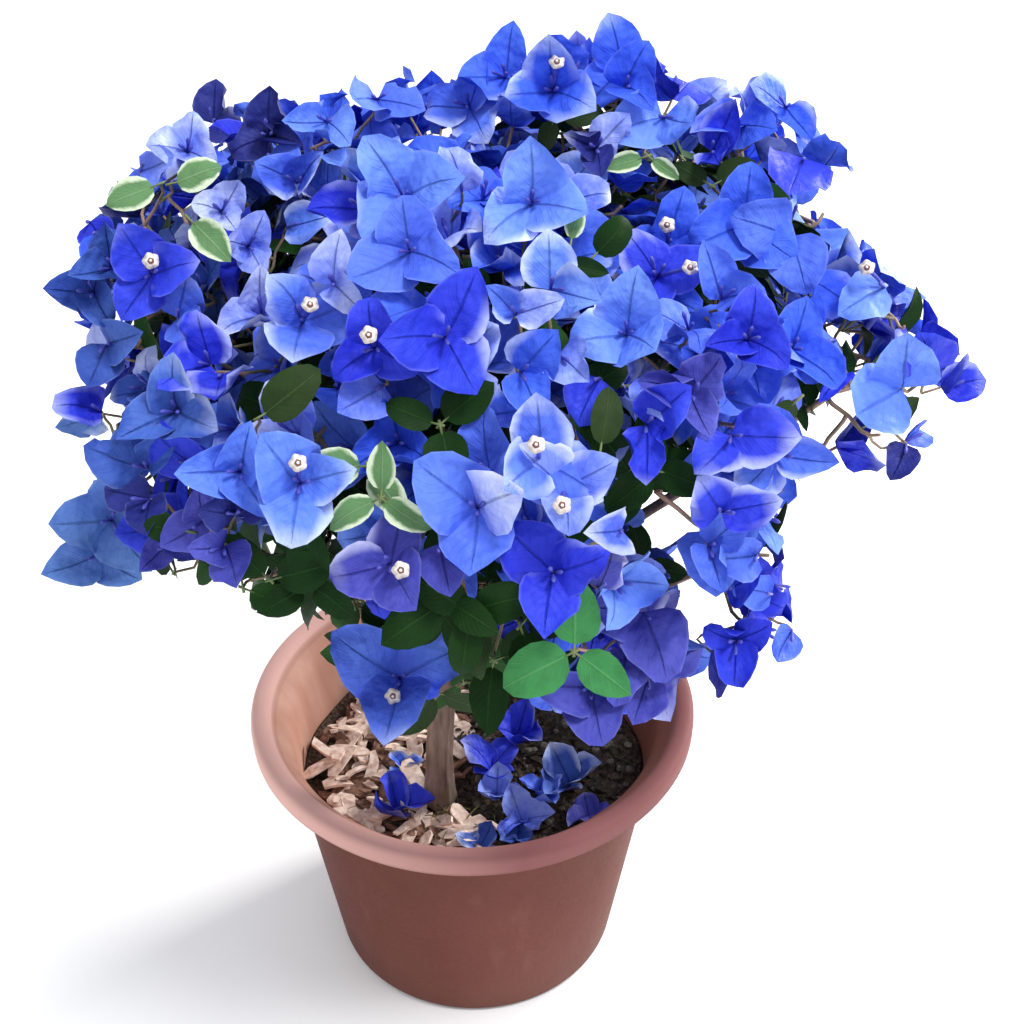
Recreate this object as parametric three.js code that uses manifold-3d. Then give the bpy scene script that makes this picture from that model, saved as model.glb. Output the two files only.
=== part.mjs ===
// A potted bougainvillea bush: a squat pot with a wide turned-out lip, filled with soil, one slim
// trunk, and a broad crown of papery three-bract sprays over a few green leaves.
// Millimetres, +Z up, +X to the right and +Y away from the viewer of the usual front view.
// The origin is the centre of the pot's flat underside.
import * as THREE from 'three';
import { mergeVertices } from 'three/addons/utils/BufferGeometryUtils.js';
import Module from 'manifold-3d';

const wasm = await Module();
wasm.setup();

const UP = new THREE.Vector3(0, 0, 1);
const GOLDEN_TURN = Math.PI * (3 - Math.sqrt(5));
const SEAT_GAP = 0.3; // between pieces that rest on or grow out of each other

// Pot and soil
const POT_HEIGHT = 172;
const LIP_RADIUS = 127;
const LIP_HEIGHT = 13;
const LIP_MOUTH_RADIUS = 118;
const BODY_RADIUS = 108.6; // of the body just under the lip
const FOOT_RADIUS = 84;
const FOOT_ROUND = 5;
const WALL = 3;
const FLOOR = 4;
const POT_SEGMENTS = 40;
const SOIL_LEVEL = 124;
const SOIL_LUMP = 2.5;
const SOIL_SEGMENTS = 30;
const SOIL_RINGS = 6;

// Trunk and boughs
const TRUNK_FOOT = new THREE.Vector3(-18.5, -35.5, SOIL_LEVEL + SEAT_GAP);
const FLAT_GROUND = [24, 46]; // the soil is flat this far round the trunk and lumpy from there on
const TRUNK_FORK = new THREE.Vector3(4, -14, 352);
const TRUNK_RADIUS = 8;
const TRUNK_TIP_RADIUS = 5.5;
const TRUNK_FLARE = 2;
const TRUNK_FLARE_SHARE = 0.12; // share of the trunk's length that the root flare takes
const FIRST_BOUGH_HEIGHT = 222;
const LAST_BOUGH_HEIGHT = 346;
const BOUGH_RADIUS = 3.4;
const BOUGH_TIP_RADIUS = 2;
const BOUGH_LEAD = 14; // how far a bough runs straight out from the trunk before it bends

// Foliage
const CROWN_HEART = new THREE.Vector3(20, 0, 340);
const PIECE_GAP = 0.5; // least room between a piece of one mass and anything of another
const STEM_RADIUS = 2;
const STEM_LENGTH = 34; // a bough ends this far short of its mass's middle
const SHOOT_RADIUS = 1.3;
const STEM_JOINTS = [0.35, 0.65, 0.93]; // where on a mass's stem its shoots may branch off
const SHOOT_JOINTS = [0.35, 0.7]; // and where on a shoot later ones may
const LAYERS = [0, 14, 30, 48, 68]; // sprays are set this deep under the crown's outline, outermost first
const TRIES_PER_LAYER = 760;
const LOWEST_TRY = -0.72; // how steeply downward a spray may lie from the crown's heart
const SPRAY_INSET = 24; // an outermost spray's heart lies this far inside the outline
const SPRAY_RISE = 0.25; // how far sprays turn up toward the light
const SPRAY_TILT = 0.9; // how far they turn aside by chance
// Bracts and leaves grow in threes. Each is so long and wide, widest at a share of its length,
// parted from the next by a notch, and lifted by an angle in this range.
const BRACT = { length: 36, width: 33, widest: 0.55, notch: 0.2, lift: [0.25, 0.85] };
const WHORL_LEAF = { length: 40, width: 23, widest: 0.5, notch: 0.12, lift: [-0.1, 0.5] };
const SPRAY_THICKNESS = 1.6;
const NECK_RADIUS = 1.5; // of the shoot where it meets its spray
const NECK_RUN = 10; // the last stretch of a shoot runs square to its spray
const SHORTEST_REACH = 45; // no spray is set nearer the crown's heart than this
const WAYS_TRIED = 4; // a shoot tries this many of the nearest joints
const LEAF_LENGTH = 38;
const LEAF_WIDTH = 23;
const LEAF_THICKNESS = 1.2;
const LEAF_FOLD = 3.5;
const ROOT_SINK = 0.5; // leaves start this far inside their twig
const LEAF_PLACE = 0.6; // along a shoot

// Each mass's lobe of the crown: its middle, its half-width and half-height, and whether it carries
// blossom or only leaves.
const MASSES = [
  { name: 'top_right', middle: [68, 54, 448], across: 88, tall: 82 },
  { name: 'top_left', middle: [-56, 36, 440], across: 82, tall: 78 },
  { name: 'top_front', middle: [4, -62, 430], across: 84, tall: 78 },
  { name: 'right', middle: [144, 30, 444], across: 80, tall: 64 },
  { name: 'right_tip', middle: [190, -30, 398], across: 62, tall: 54 },
  { name: 'left', middle: [-118, -4, 424], across: 74, tall: 76 },
  { name: 'front_right', middle: [90, -92, 400], across: 70, tall: 68 },
  { name: 'front_left', middle: [-72, -102, 396], across: 72, tall: 64 },
  { name: 'front_centre', middle: [18, -124, 386], across: 70, tall: 66 },
  { name: 'left_tip', middle: [-152, -62, 356], across: 58, tall: 50 },
  { name: 'hang_right', middle: [128, -78, 324], across: 46, tall: 64 },
  { name: 'hang_front', middle: [62, -102, 310], across: 52, tall: 56 },
  { name: 'front_spray', middle: [-22, -110, 288], across: 36, tall: 40 },
  { name: 'skirt_left', middle: [-66, -50, 330], across: 72, tall: 46, leafy: true },
  { name: 'skirt_front', middle: [4, -84, 308], across: 50, tall: 44, leafy: true },
  { name: 'back_left', middle: [-96, 104, 396], across: 92, tall: 80 },
  { name: 'back_centre', middle: [16, 130, 404], across: 92, tall: 84 },
  { name: 'back_right', middle: [120, 100, 392], across: 92, tall: 80 },
  { name: 'back_skirt', middle: [40, 64, 326], across: 84, tall: 46, leafy: true },
];

// Bracts that have dropped onto the soil: where they lie and how they are turned.
const FALLEN = [
  { at: [-42, -48], turn: 0.4, size: 0.95 },
  { at: [-40, -12], turn: 2.1, size: 0.5 },
  { at: [10, -14], turn: 1.2, size: 0.9 },
  { at: [26, 14], turn: 5.3, size: 0.9 },
  { at: [56, -27], turn: 3.4, size: 1.05 },
  { at: [28, -54], turn: 4.4, size: 0.75 },
  { at: [4, -78], turn: 0.9, size: 0.65 },
  { at: [66, -52], turn: 2.7, size: 0.6 },
];

const terracotta = new THREE.MeshStandardMaterial({ color: 0x9a5b50, roughness: 0.55, metalness: 0 });
const pottingMix = new THREE.MeshStandardMaterial({ color: 0x4a3a30, roughness: 0.95, metalness: 0 });
const bark = new THREE.MeshStandardMaterial({ color: 0x7a675c, roughness: 0.85, metalness: 0 });
const blueBract = new THREE.MeshStandardMaterial({ color: 0x4159e0, roughness: 0.6, metalness: 0 });
const greenLeaf = new THREE.MeshStandardMaterial({ color: 0x2f5a2a, roughness: 0.5, metalness: 0 });

// Numbers from 0 to 1 that are the same on every run.
function seededRandom(seed) {
  let state = (seed * 7919 + 12345) % 4294967296;
  return () => {
    state = (state * 1664525 + 1013904223) % 4294967296;
    return state / 4294967296;
  };
}

function solidOf(geometry) {
  const bare = geometry.clone();
  bare.deleteAttribute('normal');
  bare.deleteAttribute('uv');
  const merged = mergeVertices(bare, 1e-3);
  return new wasm.Manifold(new wasm.Mesh({
    numProp: 3,
    vertProperties: merged.attributes.position.array,
    triVerts: new Uint32Array(merged.index.array),
  }));
}

function geometryOf(solid) {
  const { numProp, vertProperties, triVerts } = solid.getMesh();
  const positions = new Float32Array((vertProperties.length / numProp) * 3);
  for (let i = 0; i < positions.length / 3; i++) {
    positions.set(vertProperties.subarray(i * numProp, i * numProp + 3), i * 3);
  }
  const geometry = new THREE.BufferGeometry();
  geometry.setAttribute('position', new THREE.BufferAttribute(positions, 3));
  geometry.setIndex(new THREE.BufferAttribute(new Uint32Array(triVerts), 1));
  geometry.computeVertexNormals();
  return geometry;
}

function namedMesh(name, geometry, material) {
  const mesh = new THREE.Mesh(geometry, material);
  mesh.name = name;
  return mesh;
}

// One body out of pieces that cross: sealed hollows are filled and loose scraps dropped.
function fuse(solids) {
  const bodies = wasm.Manifold.union(solids).decompose();
  return bodies.sort((a, b) => b.volume() - a.volume())[0];
}

// Turned about Z from a profile of [radius, height] pairs.
function turned(profile, segments) {
  const geometry = new THREE.LatheGeometry(profile.map(([r, z]) => new THREE.Vector2(r, z)), segments);
  return geometry.rotateX(Math.PI / 2);
}

function pot() {
  const lipFoot = POT_HEIGHT - LIP_HEIGHT;
  const inner = BODY_RADIUS - WALL;
  return turned([
    [0, 0],
    [FOOT_RADIUS - FOOT_ROUND, 0],
    [FOOT_RADIUS - FOOT_ROUND * 0.3, FOOT_ROUND * 0.3],
    [FOOT_RADIUS, FOOT_ROUND],
    [BODY_RADIUS, lipFoot],
    [LIP_RADIUS - 3, lipFoot],
    [LIP_RADIUS, lipFoot + 3],
    [LIP_RADIUS - 1, POT_HEIGHT - 3],
    [LIP_RADIUS - 4, POT_HEIGHT],
    [LIP_MOUTH_RADIUS + 2, POT_HEIGHT],
    [LIP_MOUTH_RADIUS, POT_HEIGHT - 2],
    [inner, lipFoot - 1],
    [FOOT_RADIUS - WALL, FLOOR],
    [0, FLOOR],
  ], POT_SEGMENTS);
}

function innerWallRadius(height) {
  const share = (height - FLOOR) / (POT_HEIGHT - LIP_HEIGHT - 1 - FLOOR);
  return THREE.MathUtils.lerp(FOOT_RADIUS - WALL, BODY_RADIUS - WALL, share);
}

// Low rolling lumps over the soil, highest by SOIL_LUMP, that flatten out round the trunk.
function soilHeight(x, y) {
  const lumpy = THREE.MathUtils.smoothstep(Math.hypot(x - TRUNK_FOOT.x, y - TRUNK_FOOT.y), ...FLAT_GROUND);
  return SOIL_LEVEL + lumpy * SOIL_LUMP * Math.sin(x / 13 + 1.3) * Math.cos(y / 11 - 0.4);
}

function soil() {
  const flatFoot = FLOOR + SEAT_GAP;
  const edge = innerWallRadius(SOIL_LEVEL - SOIL_LUMP) - SEAT_GAP - 0.9;
  const profile = [[0, flatFoot], [innerWallRadius(flatFoot) - SEAT_GAP - 0.9, flatFoot]];
  for (let ring = SOIL_RINGS; ring >= 0; ring--) profile.push([edge * ring / SOIL_RINGS, SOIL_LEVEL]);
  const geometry = turned(profile, SOIL_SEGMENTS);
  const place = geometry.attributes.position;
  for (let i = 0; i < place.count; i++) {
    if (place.getZ(i) > SOIL_LEVEL - 1) place.setZ(i, soilHeight(place.getX(i), place.getY(i)));
  }
  return geometry;
}

// A round limb along a curve, with its radius given along its length from 0 to 1.
function limb(curve, radiusAt, sides, steps) {
  const profile = [new THREE.Vector2(0, 0)];
  for (let i = 0; i <= steps; i++) profile.push(new THREE.Vector2(radiusAt(i / steps), i));
  profile.push(new THREE.Vector2(0, steps));
  const geometry = new THREE.LatheGeometry(profile, sides);
  const { normals, binormals } = curve.computeFrenetFrames(steps);
  const place = geometry.attributes.position;
  for (let i = 0; i < place.count; i++) {
    const step = Math.round(place.getY(i));
    const point = curve.getPointAt(step / steps)
      .addScaledVector(normals[step], place.getX(i))
      .addScaledVector(binormals[step], -place.getZ(i));
    place.setXYZ(i, point.x, point.y, point.z);
  }
  return geometry;
}

const trunkCurve = new THREE.CubicBezierCurve3(
  TRUNK_FOOT,
  TRUNK_FOOT.clone().addScaledVector(UP, 90),
  TRUNK_FORK.clone().add(new THREE.Vector3(-10, -8, -80)),
  TRUNK_FORK,
);

function trunkRadius(share) {
  const flare = TRUNK_FLARE * Math.max(0, 1 - share / TRUNK_FLARE_SHARE) ** 2;
  return THREE.MathUtils.lerp(TRUNK_RADIUS, TRUNK_TIP_RADIUS, share) + flare;
}

const middleOf = (mass) => new THREE.Vector3(...mass.middle);
const radiiOf = (mass) => new THREE.Vector3(mass.across, mass.across, mass.tall);

// How far the crown reaches from its heart along a direction: to the far side of the outermost lobe.
function crownReach(direction) {
  return Math.max(...MASSES.map((mass) => {
    const radii = radiiOf(mass);
    const line = direction.clone().divide(radii);
    const start = CROWN_HEART.clone().sub(middleOf(mass)).divide(radii);
    const a = line.lengthSq();
    const b = line.dot(start);
    const c = start.lengthSq() - 1;
    return b * b < a * c ? 0 : (-b + Math.sqrt(b * b - a * c)) / a;
  }));
}

const boughRadius = (share) => THREE.MathUtils.lerp(BOUGH_RADIUS, BOUGH_TIP_RADIUS, share);

// Boughs leave the trunk in the order of how steeply they climb, so that none crosses another: the
// flattest leaves lowest. Each sets out level, bends toward its mass's middle, and ends a stem's
// length short of it.
function boughCurve(mass, rank, clearance) {
  const height = THREE.MathUtils.lerp(FIRST_BOUGH_HEIGHT, LAST_BOUGH_HEIGHT, rank / (MASSES.length - 1));
  const share = (height - TRUNK_FOOT.z) / (TRUNK_FORK.z - TRUNK_FOOT.z);
  const axis = trunkCurve.getPointAt(share);
  const middle = middleOf(mass);
  const outward = middle.clone().sub(axis).setZ(0).normalize();
  const root = axis.clone().addScaledVector(outward, trunkRadius(share) + clearance);
  const bend = root.clone().addScaledVector(outward, BOUGH_LEAD);
  const onward = middle.clone().sub(bend);
  return new THREE.QuadraticBezierCurve3(root, bend, bend.clone().addScaledVector(
    onward, 1 - STEM_LENGTH / onward.length()));
}

function climb({ middle: [x, y, z] }) {
  return (z - FIRST_BOUGH_HEIGHT) / Math.hypot(x - TRUNK_FORK.x, y - TRUNK_FORK.y);
}

const byClimb = [...MASSES].sort((a, b) => climb(a) - climb(b));
const trunkGeometry = limb(trunkCurve, trunkRadius, 10, 12);
const trunkSolid = solidOf(trunkGeometry);
const boughGeometry = (curve) => limb(curve, boughRadius, 6, 5);

// The trunk leans, so a bough's flat root is moved out until all of it stands clear of the bark.
function seatedBough(mass, rank) {
  let clearance = SEAT_GAP;
  let curve = boughCurve(mass, rank, clearance);
  while (trunkSolid.minGap(solidOf(boughGeometry(curve)), 1) < SEAT_GAP) {
    clearance += 0.1;
    curve = boughCurve(mass, rank, clearance);
  }
  return curve;
}

const boughCurves = new Map(byClimb.map((mass, rank) => [mass, seatedBough(mass, rank)]));

// Two directions square to an axis and to each other.
function squareTo(axis) {
  const aside = Math.abs(axis.z) < 0.9 ? UP : new THREE.Vector3(1, 0, 0);
  const first = axis.clone().cross(aside).normalize();
  return [first, axis.clone().cross(first)];
}

function meshOf(points, faces) {
  const geometry = new THREE.BufferGeometry();
  geometry.setAttribute('position', new THREE.Float32BufferAttribute(points.flatMap((p) => p.toArray()), 3));
  geometry.setIndex(faces.flat());
  return geometry;
}

// A three-sided ring of points round a twig.
function twigRing(at, axis, radius) {
  const [right, ahead] = squareTo(axis);
  return [0, 1, 2].map((k) => at.clone()
    .addScaledVector(right, radius * Math.cos(k * Math.PI * 2 / 3))
    .addScaledVector(ahead, radius * Math.sin(k * Math.PI * 2 / 3)));
}

function twig(from, to, rootRadius, tipRadius) {
  const axis = to.clone().sub(from).normalize();
  const points = [...twigRing(from, axis, rootRadius), ...twigRing(to, axis, tipRadius)];
  const faces = [[0, 2, 1], [3, 4, 5]];
  for (let k = 0; k < 3; k++) {
    const next = (k + 1) % 3;
    faces.push([k, next, 3 + next], [k, 3 + next, 3 + k]);
  }
  return meshOf(points, faces);
}

// The outline of three bracts that make a shallow three-cornered dish: each has a notch to the last,
// two shoulders and a tip, which stand up from the heart of the spray.
function sprayOutline(heart, axis, { blade, roll, cups, size }) {
  const [right, ahead] = squareTo(axis);
  const at = (turn, out, rise) => heart.clone()
    .addScaledVector(right, out * Math.cos(turn))
    .addScaledVector(ahead, out * Math.sin(turn))
    .addScaledVector(axis, rise);
  const length = blade.length * size;
  const shoulder = Math.atan2(blade.width / 2, blade.length * blade.widest);
  const shoulderOut = Math.hypot(blade.width / 2, blade.length * blade.widest) * size;
  return cups.flatMap((cup, k) => {
    const turn = (roll + k / 3) * Math.PI * 2;
    const lift = THREE.MathUtils.lerp(...blade.lift, cup);
    const flat = Math.cos(lift);
    const steep = Math.sin(lift);
    const edge = Math.atan2(Math.tan(shoulder), flat);
    const edgeOut = shoulderOut * Math.hypot(Math.cos(shoulder) * flat, Math.sin(shoulder));
    return [
      at(turn - Math.PI / 3, length * blade.notch, length * 0.06),
      at(turn - edge, edgeOut, shoulderOut * steep * 0.9),
      at(turn, length * flat, length * steep * 0.85),
      at(turn + edge, edgeOut, shoulderOut * steep * 0.9),
    ];
  });
}

// Where a shoot bends, just under its spray.
function bendUnder(heart, axis) {
  return heart.clone().addScaledVector(axis, -SPRAY_THICKNESS - NECK_RUN);
}

// A shoot and the spray at its end, in one piece. The shoot is three-sided, bends just under the
// spray, and its last ring is the middle of the spray's underside.
function shootWithSpray(from, heart, axis, shape) {
  const outline = sprayOutline(heart, axis, shape);
  const neck = heart.clone().addScaledVector(axis, -SPRAY_THICKNESS);
  const bend = bendUnder(heart, axis);
  const points = [heart.clone(), from.clone(), ...outline];
  const halfway = bend.clone().sub(from).normalize().add(axis).normalize();
  const swing = new THREE.Quaternion().setFromUnitVectors(axis, halfway);
  const spokes = [0, 1, 2].map((k) => outline[4 * k].clone().sub(heart).projectOnPlane(axis).normalize());
  for (const spoke of spokes) {
    points.push(bend.clone().addScaledVector(spoke.clone().applyQuaternion(swing), SHOOT_RADIUS));
  }
  for (const spoke of spokes) points.push(neck.clone().addScaledVector(spoke, NECK_RADIUS));
  const edge = (i) => 2 + (i % 12);
  const ring = (row, k) => 14 + row * 3 + (k % 3);
  const faces = [];
  for (let i = 0; i < 12; i++) faces.push([0, edge(i), edge(i + 1)]);
  for (let k = 0; k < 3; k++) {
    faces.push([1, ring(0, k + 1), ring(0, k)]);
    faces.push([ring(0, k), ring(0, k + 1), ring(1, k + 1)]);
    faces.push([ring(0, k), ring(1, k + 1), ring(1, k)]);
    faces.push([ring(1, k), edge(4 * k + 1), edge(4 * k)]);
    faces.push([ring(1, k), edge(4 * k + 2), edge(4 * k + 1)]);
    faces.push([ring(1, k), ring(1, k + 1), edge(4 * k + 2)]);
    faces.push([ring(1, k + 1), edge(4 * k + 3), edge(4 * k + 2)]);
    faces.push([ring(1, k + 1), edge(4 * k + 4), edge(4 * k + 3)]);
  }
  return meshOf(points, faces);
}

// A pointed leaf of eight faces, folded a little along its midrib. It runs along one direction from
// a point and faces another.
function leafBlade(root, along, facing, size) {
  const across = along.clone().cross(facing).normalize();
  const up = across.clone().cross(along).normalize();
  const at = (side, onward, rise) => root.clone()
    .addScaledVector(across, side * size)
    .addScaledVector(along, onward * size - ROOT_SINK)
    .addScaledVector(up, rise * size);
  const widest = LEAF_LENGTH * 0.45;
  return meshOf([
    at(0, 0, 0),
    at(LEAF_WIDTH / 2, widest, LEAF_FOLD),
    at(0, LEAF_LENGTH, -1),
    at(-LEAF_WIDTH / 2, widest, LEAF_FOLD),
    at(0, widest, LEAF_THICKNESS / 2),
    at(0, widest, -LEAF_THICKNESS / 2),
  ], [[4, 0, 1], [4, 1, 2], [4, 2, 3], [4, 3, 0], [5, 1, 0], [5, 2, 1], [5, 3, 2], [5, 0, 3]]);
}

// A leaf standing off a twig's side.
function sideLeaf(at, axis, turn, lean, size) {
  const [right, ahead] = squareTo(axis);
  const radial = right.multiplyScalar(Math.cos(turn)).addScaledVector(ahead, Math.sin(turn));
  const along = radial.clone().addScaledVector(axis, lean).normalize();
  const facing = axis.clone().addScaledVector(radial, -lean).normalize();
  return leafBlade(at, along, facing, size);
}

// A ball round a solid.
function ballRound(solid) {
  const { min, max } = solid.boundingBox();
  const low = new THREE.Vector3(...min);
  const high = new THREE.Vector3(...max);
  return { middle: low.clone().lerp(high, 0.5), radius: low.distanceTo(high) / 2 };
}

// Pieces already set out, each with the mass it belongs to, or none for the trunk and boughs.
const settled = [];

function settle(solid, owner, isSpray) {
  settled.push({ solid, owner, isSpray, ball: ballRound(solid) });
}

// Whether a piece keeps clear of the settled pieces that a test picks out.
function keepsClear(solid, picks) {
  const { middle, radius } = ballRound(solid);
  return settled.every((other) => !picks(other)
    || other.ball.middle.distanceTo(middle) > other.ball.radius + radius + PIECE_GAP
    || other.solid.minGap(solid, PIECE_GAP) >= PIECE_GAP);
}

// The mass whose lobe a point lies deepest in.
const nearestMass = (point) => MASSES.reduce((near, mass) => {
  const reach = (m) => point.clone().sub(middleOf(m)).divide(radiiOf(m)).length();
  return reach(mass) < reach(near) ? mass : near;
});

// Sets out every spray of the crown. Directions turn by the golden angle round the crown's heart, and
// each is tried just under the crown's outline and then in deeper layers. A spray belongs to the mass
// it lies in. Its shoot branches from the nearest joint of that mass, and a spray, shoot or leaf that
// would touch a limb, another mass or an earlier spray is left off.
function growCrown() {
  const growth = new Map(MASSES.map((mass) => {
    const bough = boughCurves.get(mass);
    const foot = bough.getPointAt(1).addScaledVector(bough.getTangentAt(1), SEAT_GAP + 0.1);
    const stem = solidOf(twig(foot, middleOf(mass), STEM_RADIUS, SHOOT_RADIUS));
    settle(stem, mass, false);
    const joints = STEM_JOINTS.map((share) => foot.clone().lerp(middleOf(mass), share));
    return [mass, { solids: [stem], joints }];
  }));
  const draw = seededRandom(1);
  const draws = (count) => Array.from({ length: count }, draw);
  for (const layer of LAYERS) {
    for (let i = 0; i < TRIES_PER_LAYER; i++) {
      const [sway, roll, cupA, cupB, cupC, size, leafTurn, tiltA, tiltB, depth] = draws(10);
      const rise = THREE.MathUtils.lerp(1, LOWEST_TRY, (i + 0.5) / TRIES_PER_LAYER);
      const turn = i * GOLDEN_TURN + (sway - 0.5) * 0.3;
      const level = Math.sqrt(1 - rise * rise);
      const direction = new THREE.Vector3(level * Math.cos(turn), level * Math.sin(turn), rise);
      const reach = crownReach(direction) - SPRAY_INSET * (0.8 + 0.5 * depth) - layer;
      if (reach < SHORTEST_REACH) continue;
      const heart = CROWN_HEART.clone().addScaledVector(direction, reach);
      const axis = direction.clone()
        .addScaledVector(UP, SPRAY_RISE)
        .add(new THREE.Vector3(tiltA - 0.5, tiltB - 0.5, 0).multiplyScalar(SPRAY_TILT))
        .normalize();
      const mass = nearestMass(heart);
      const { solids, joints } = growth.get(mass);
      const bend = bendUnder(heart, axis);
      const blade = mass.leafy ? WHORL_LEAF : BRACT;
      const shape = { blade, roll, cups: [cupA, cupB, cupC], size: 0.85 + 0.3 * size };
      const spray = solidOf(shootWithSpray(heart.clone().addScaledVector(axis, -4), heart, axis, shape));
      if (!keepsClear(spray, () => true)) continue;
      const ways = [...joints].sort((a, b) => a.distanceTo(bend) - b.distanceTo(bend)).slice(0, WAYS_TRIED);
      const clearWay = ways
        .map((from) => ({ from, shoot: solidOf(shootWithSpray(from, heart, axis, shape)) }))
        .find(({ shoot }) => keepsClear(shoot, (other) => other.owner !== mass || other.isSpray));
      if (!clearWay) continue;
      const { from, shoot } = clearWay;
      settle(spray, mass, true);
      settle(shoot, mass, false);
      solids.push(shoot);
      joints.splice(joints.indexOf(from), 1, ...SHOOT_JOINTS.map((place) => from.clone().lerp(bend, place)));
      const root = from.clone().lerp(bend, LEAF_PLACE);
      const leaf = solidOf(sideLeaf(root, axis, leafTurn * Math.PI * 2, 0.5, 0.95));
      if (keepsClear(leaf, (other) => other.solid !== shoot)) {
        settle(leaf, mass, true);
        solids.push(leaf);
      }
    }
  }
  return growth;
}

// A dropped spray of bracts, let down until it just clears the soil.
function fallenBracts({ at, turn, size }, ground) {
  const heart = new THREE.Vector3(at[0], at[1], SOIL_LEVEL);
  const tilt = new THREE.Vector3(0.12 * Math.cos(turn), 0.12 * Math.sin(turn), 1).normalize();
  const shape = { blade: BRACT, roll: turn, cups: [0.1, 0.5, 0.3], size: size * 0.65 };
  const outline = sprayOutline(heart, tilt, shape);
  const underside = heart.clone().addScaledVector(tilt, -SPRAY_THICKNESS);
  const faces = outline.flatMap((point, i) => {
    const edge = [2 + i, 2 + (i + 1) % outline.length];
    return [[0, ...edge], [1, ...edge.reverse()]];
  });
  let solid = solidOf(meshOf([heart, underside, ...outline], faces));
  while (solid.minGap(ground, 1) < SEAT_GAP) solid = solid.translate([0, 0, 0.1]);
  return solid;
}

const bush = new THREE.Group();
const ground = soil();
bush.add(namedMesh('pot', pot(), terracotta));
bush.add(namedMesh('soil', ground, pottingMix));
bush.add(namedMesh('trunk', trunkGeometry, bark));
for (const [mass, curve] of boughCurves) {
  bush.add(namedMesh(`bough_${mass.name}`, boughGeometry(curve), bark));
}
for (const curve of boughCurves.values()) settle(solidOf(boughGeometry(curve)), null, false);
settle(trunkSolid, null, false);
for (const [mass, { solids }] of growCrown()) {
  bush.add(namedMesh(`foliage_${mass.name}`, geometryOf(fuse(solids)), mass.leafy ? greenLeaf : blueBract));
}
const groundSolid = solidOf(ground);
FALLEN.forEach((heap, index) => {
  bush.add(namedMesh(`fallen_bracts_${index + 1}`, geometryOf(fallenBracts(heap, groundSolid)), blueBract));
});

export default bush;
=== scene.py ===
# %% [markdown]
# A bougainvillea in its pot: a wide-lipped pot full of bark and soil, one slim trunk, and a broad
# crown of papery blue bracts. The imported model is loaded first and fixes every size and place, and
# each later cell grows or turns one finer piece round it.

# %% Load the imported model
import math

import bpy
import numpy as np
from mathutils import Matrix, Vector
from mathutils.bvhtree import BVHTree


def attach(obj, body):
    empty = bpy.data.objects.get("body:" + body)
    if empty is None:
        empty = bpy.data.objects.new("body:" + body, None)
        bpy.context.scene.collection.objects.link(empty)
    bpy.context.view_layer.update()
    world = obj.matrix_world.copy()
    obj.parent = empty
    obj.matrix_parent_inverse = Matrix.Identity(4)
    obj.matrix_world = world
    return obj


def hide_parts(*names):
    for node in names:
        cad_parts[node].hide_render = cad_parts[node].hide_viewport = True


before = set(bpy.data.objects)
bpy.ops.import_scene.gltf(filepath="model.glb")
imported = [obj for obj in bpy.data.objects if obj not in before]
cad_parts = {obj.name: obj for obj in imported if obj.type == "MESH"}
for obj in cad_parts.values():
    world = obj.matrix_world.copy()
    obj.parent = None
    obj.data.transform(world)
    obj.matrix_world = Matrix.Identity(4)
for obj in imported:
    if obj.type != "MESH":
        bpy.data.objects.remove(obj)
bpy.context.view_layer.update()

# %% [markdown]
# Every piece here is a surface worked out as whole numpy arrays in millimetres, so one helper turns
# points and faces into a Blender mesh in metres. It sits at the origin, rides on the plant's only
# body, and hides the parts of the imported model that it stands for.

# %% From arrays to a piece
MM = 0.001


def make_piece(name, points, faces, finish, slot, uv=None, replaces=(), smooth=True, rim=None):
    """Makes a mesh from points in mm and a list of index arrays, one array for each face size. rim
    marks the points on the edge of thin blades: an edge with both ends there is a crease."""
    mesh = bpy.data.meshes.new(name)
    corners = np.concatenate([np.asarray(block).ravel() for block in faces]).astype(np.int32)
    sizes = np.concatenate([np.full(len(block), np.shape(block)[1]) for block in faces])
    starts = np.concatenate([[0], np.cumsum(sizes)[:-1]]).astype(np.int32)
    mesh.vertices.add(len(points))
    mesh.vertices.foreach_set("co", (np.asarray(points) * MM).ravel().astype(np.float32))
    mesh.loops.add(len(corners))
    mesh.loops.foreach_set("vertex_index", corners)
    mesh.polygons.add(len(sizes))
    mesh.polygons.foreach_set("loop_start", starts)
    mesh.polygons.foreach_set("use_smooth", np.full(len(sizes), smooth))
    mesh.update(calc_edges=True)
    if uv is not None:
        layer = mesh.uv_layers.new(name="UVMap")
        layer.data.foreach_set("uv", np.asarray(uv)[corners].ravel().astype(np.float32))
    if rim is not None:
        ends = np.empty(2 * len(mesh.edges), np.int32)
        mesh.edges.foreach_get("vertices", ends)
        creased = np.asarray(rim)[ends.reshape(-1, 2)].all(1)
        mesh.attributes.new("sharp_edge", "BOOLEAN", "EDGE").data.foreach_set("value", creased)
    piece = bpy.data.objects.new(name, mesh)
    bpy.context.scene.collection.objects.link(piece)
    piece.data.materials.append(finish)
    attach(piece, "root")
    if replaces:
        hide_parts(*replaces)
    triangles = int((sizes - 2).sum())
    print(f"{name}: {len(points)} points, {triangles} triangles, volume {volume(points, faces):.0f} mm3")


def volume(points, faces):
    """Sum over the faces' fans of triangles of the box product of their corners, over six."""
    total = 0.0
    for block in faces:
        block = np.asarray(block)
        for k in range(1, block.shape[1] - 1):
            a, b, c = (points[block[:, j]] for j in (0, k, k + 1))
            total += np.einsum("ij,ij->i", a, np.cross(b, c)).sum() / 6
    return total


def unit(vectors):
    """Vectors divided by their lengths."""
    return vectors / np.linalg.norm(vectors, axis=-1, keepdims=True)

# %% [markdown]
# Pot, soil, limbs and stalks are rings of points joined by quads, with a fan of triangles round a
# pole at either end. Many small things are one shape numbered again for each.

# %% Faces of rings and fans
BACKWARD = [0, 2, 1]


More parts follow.
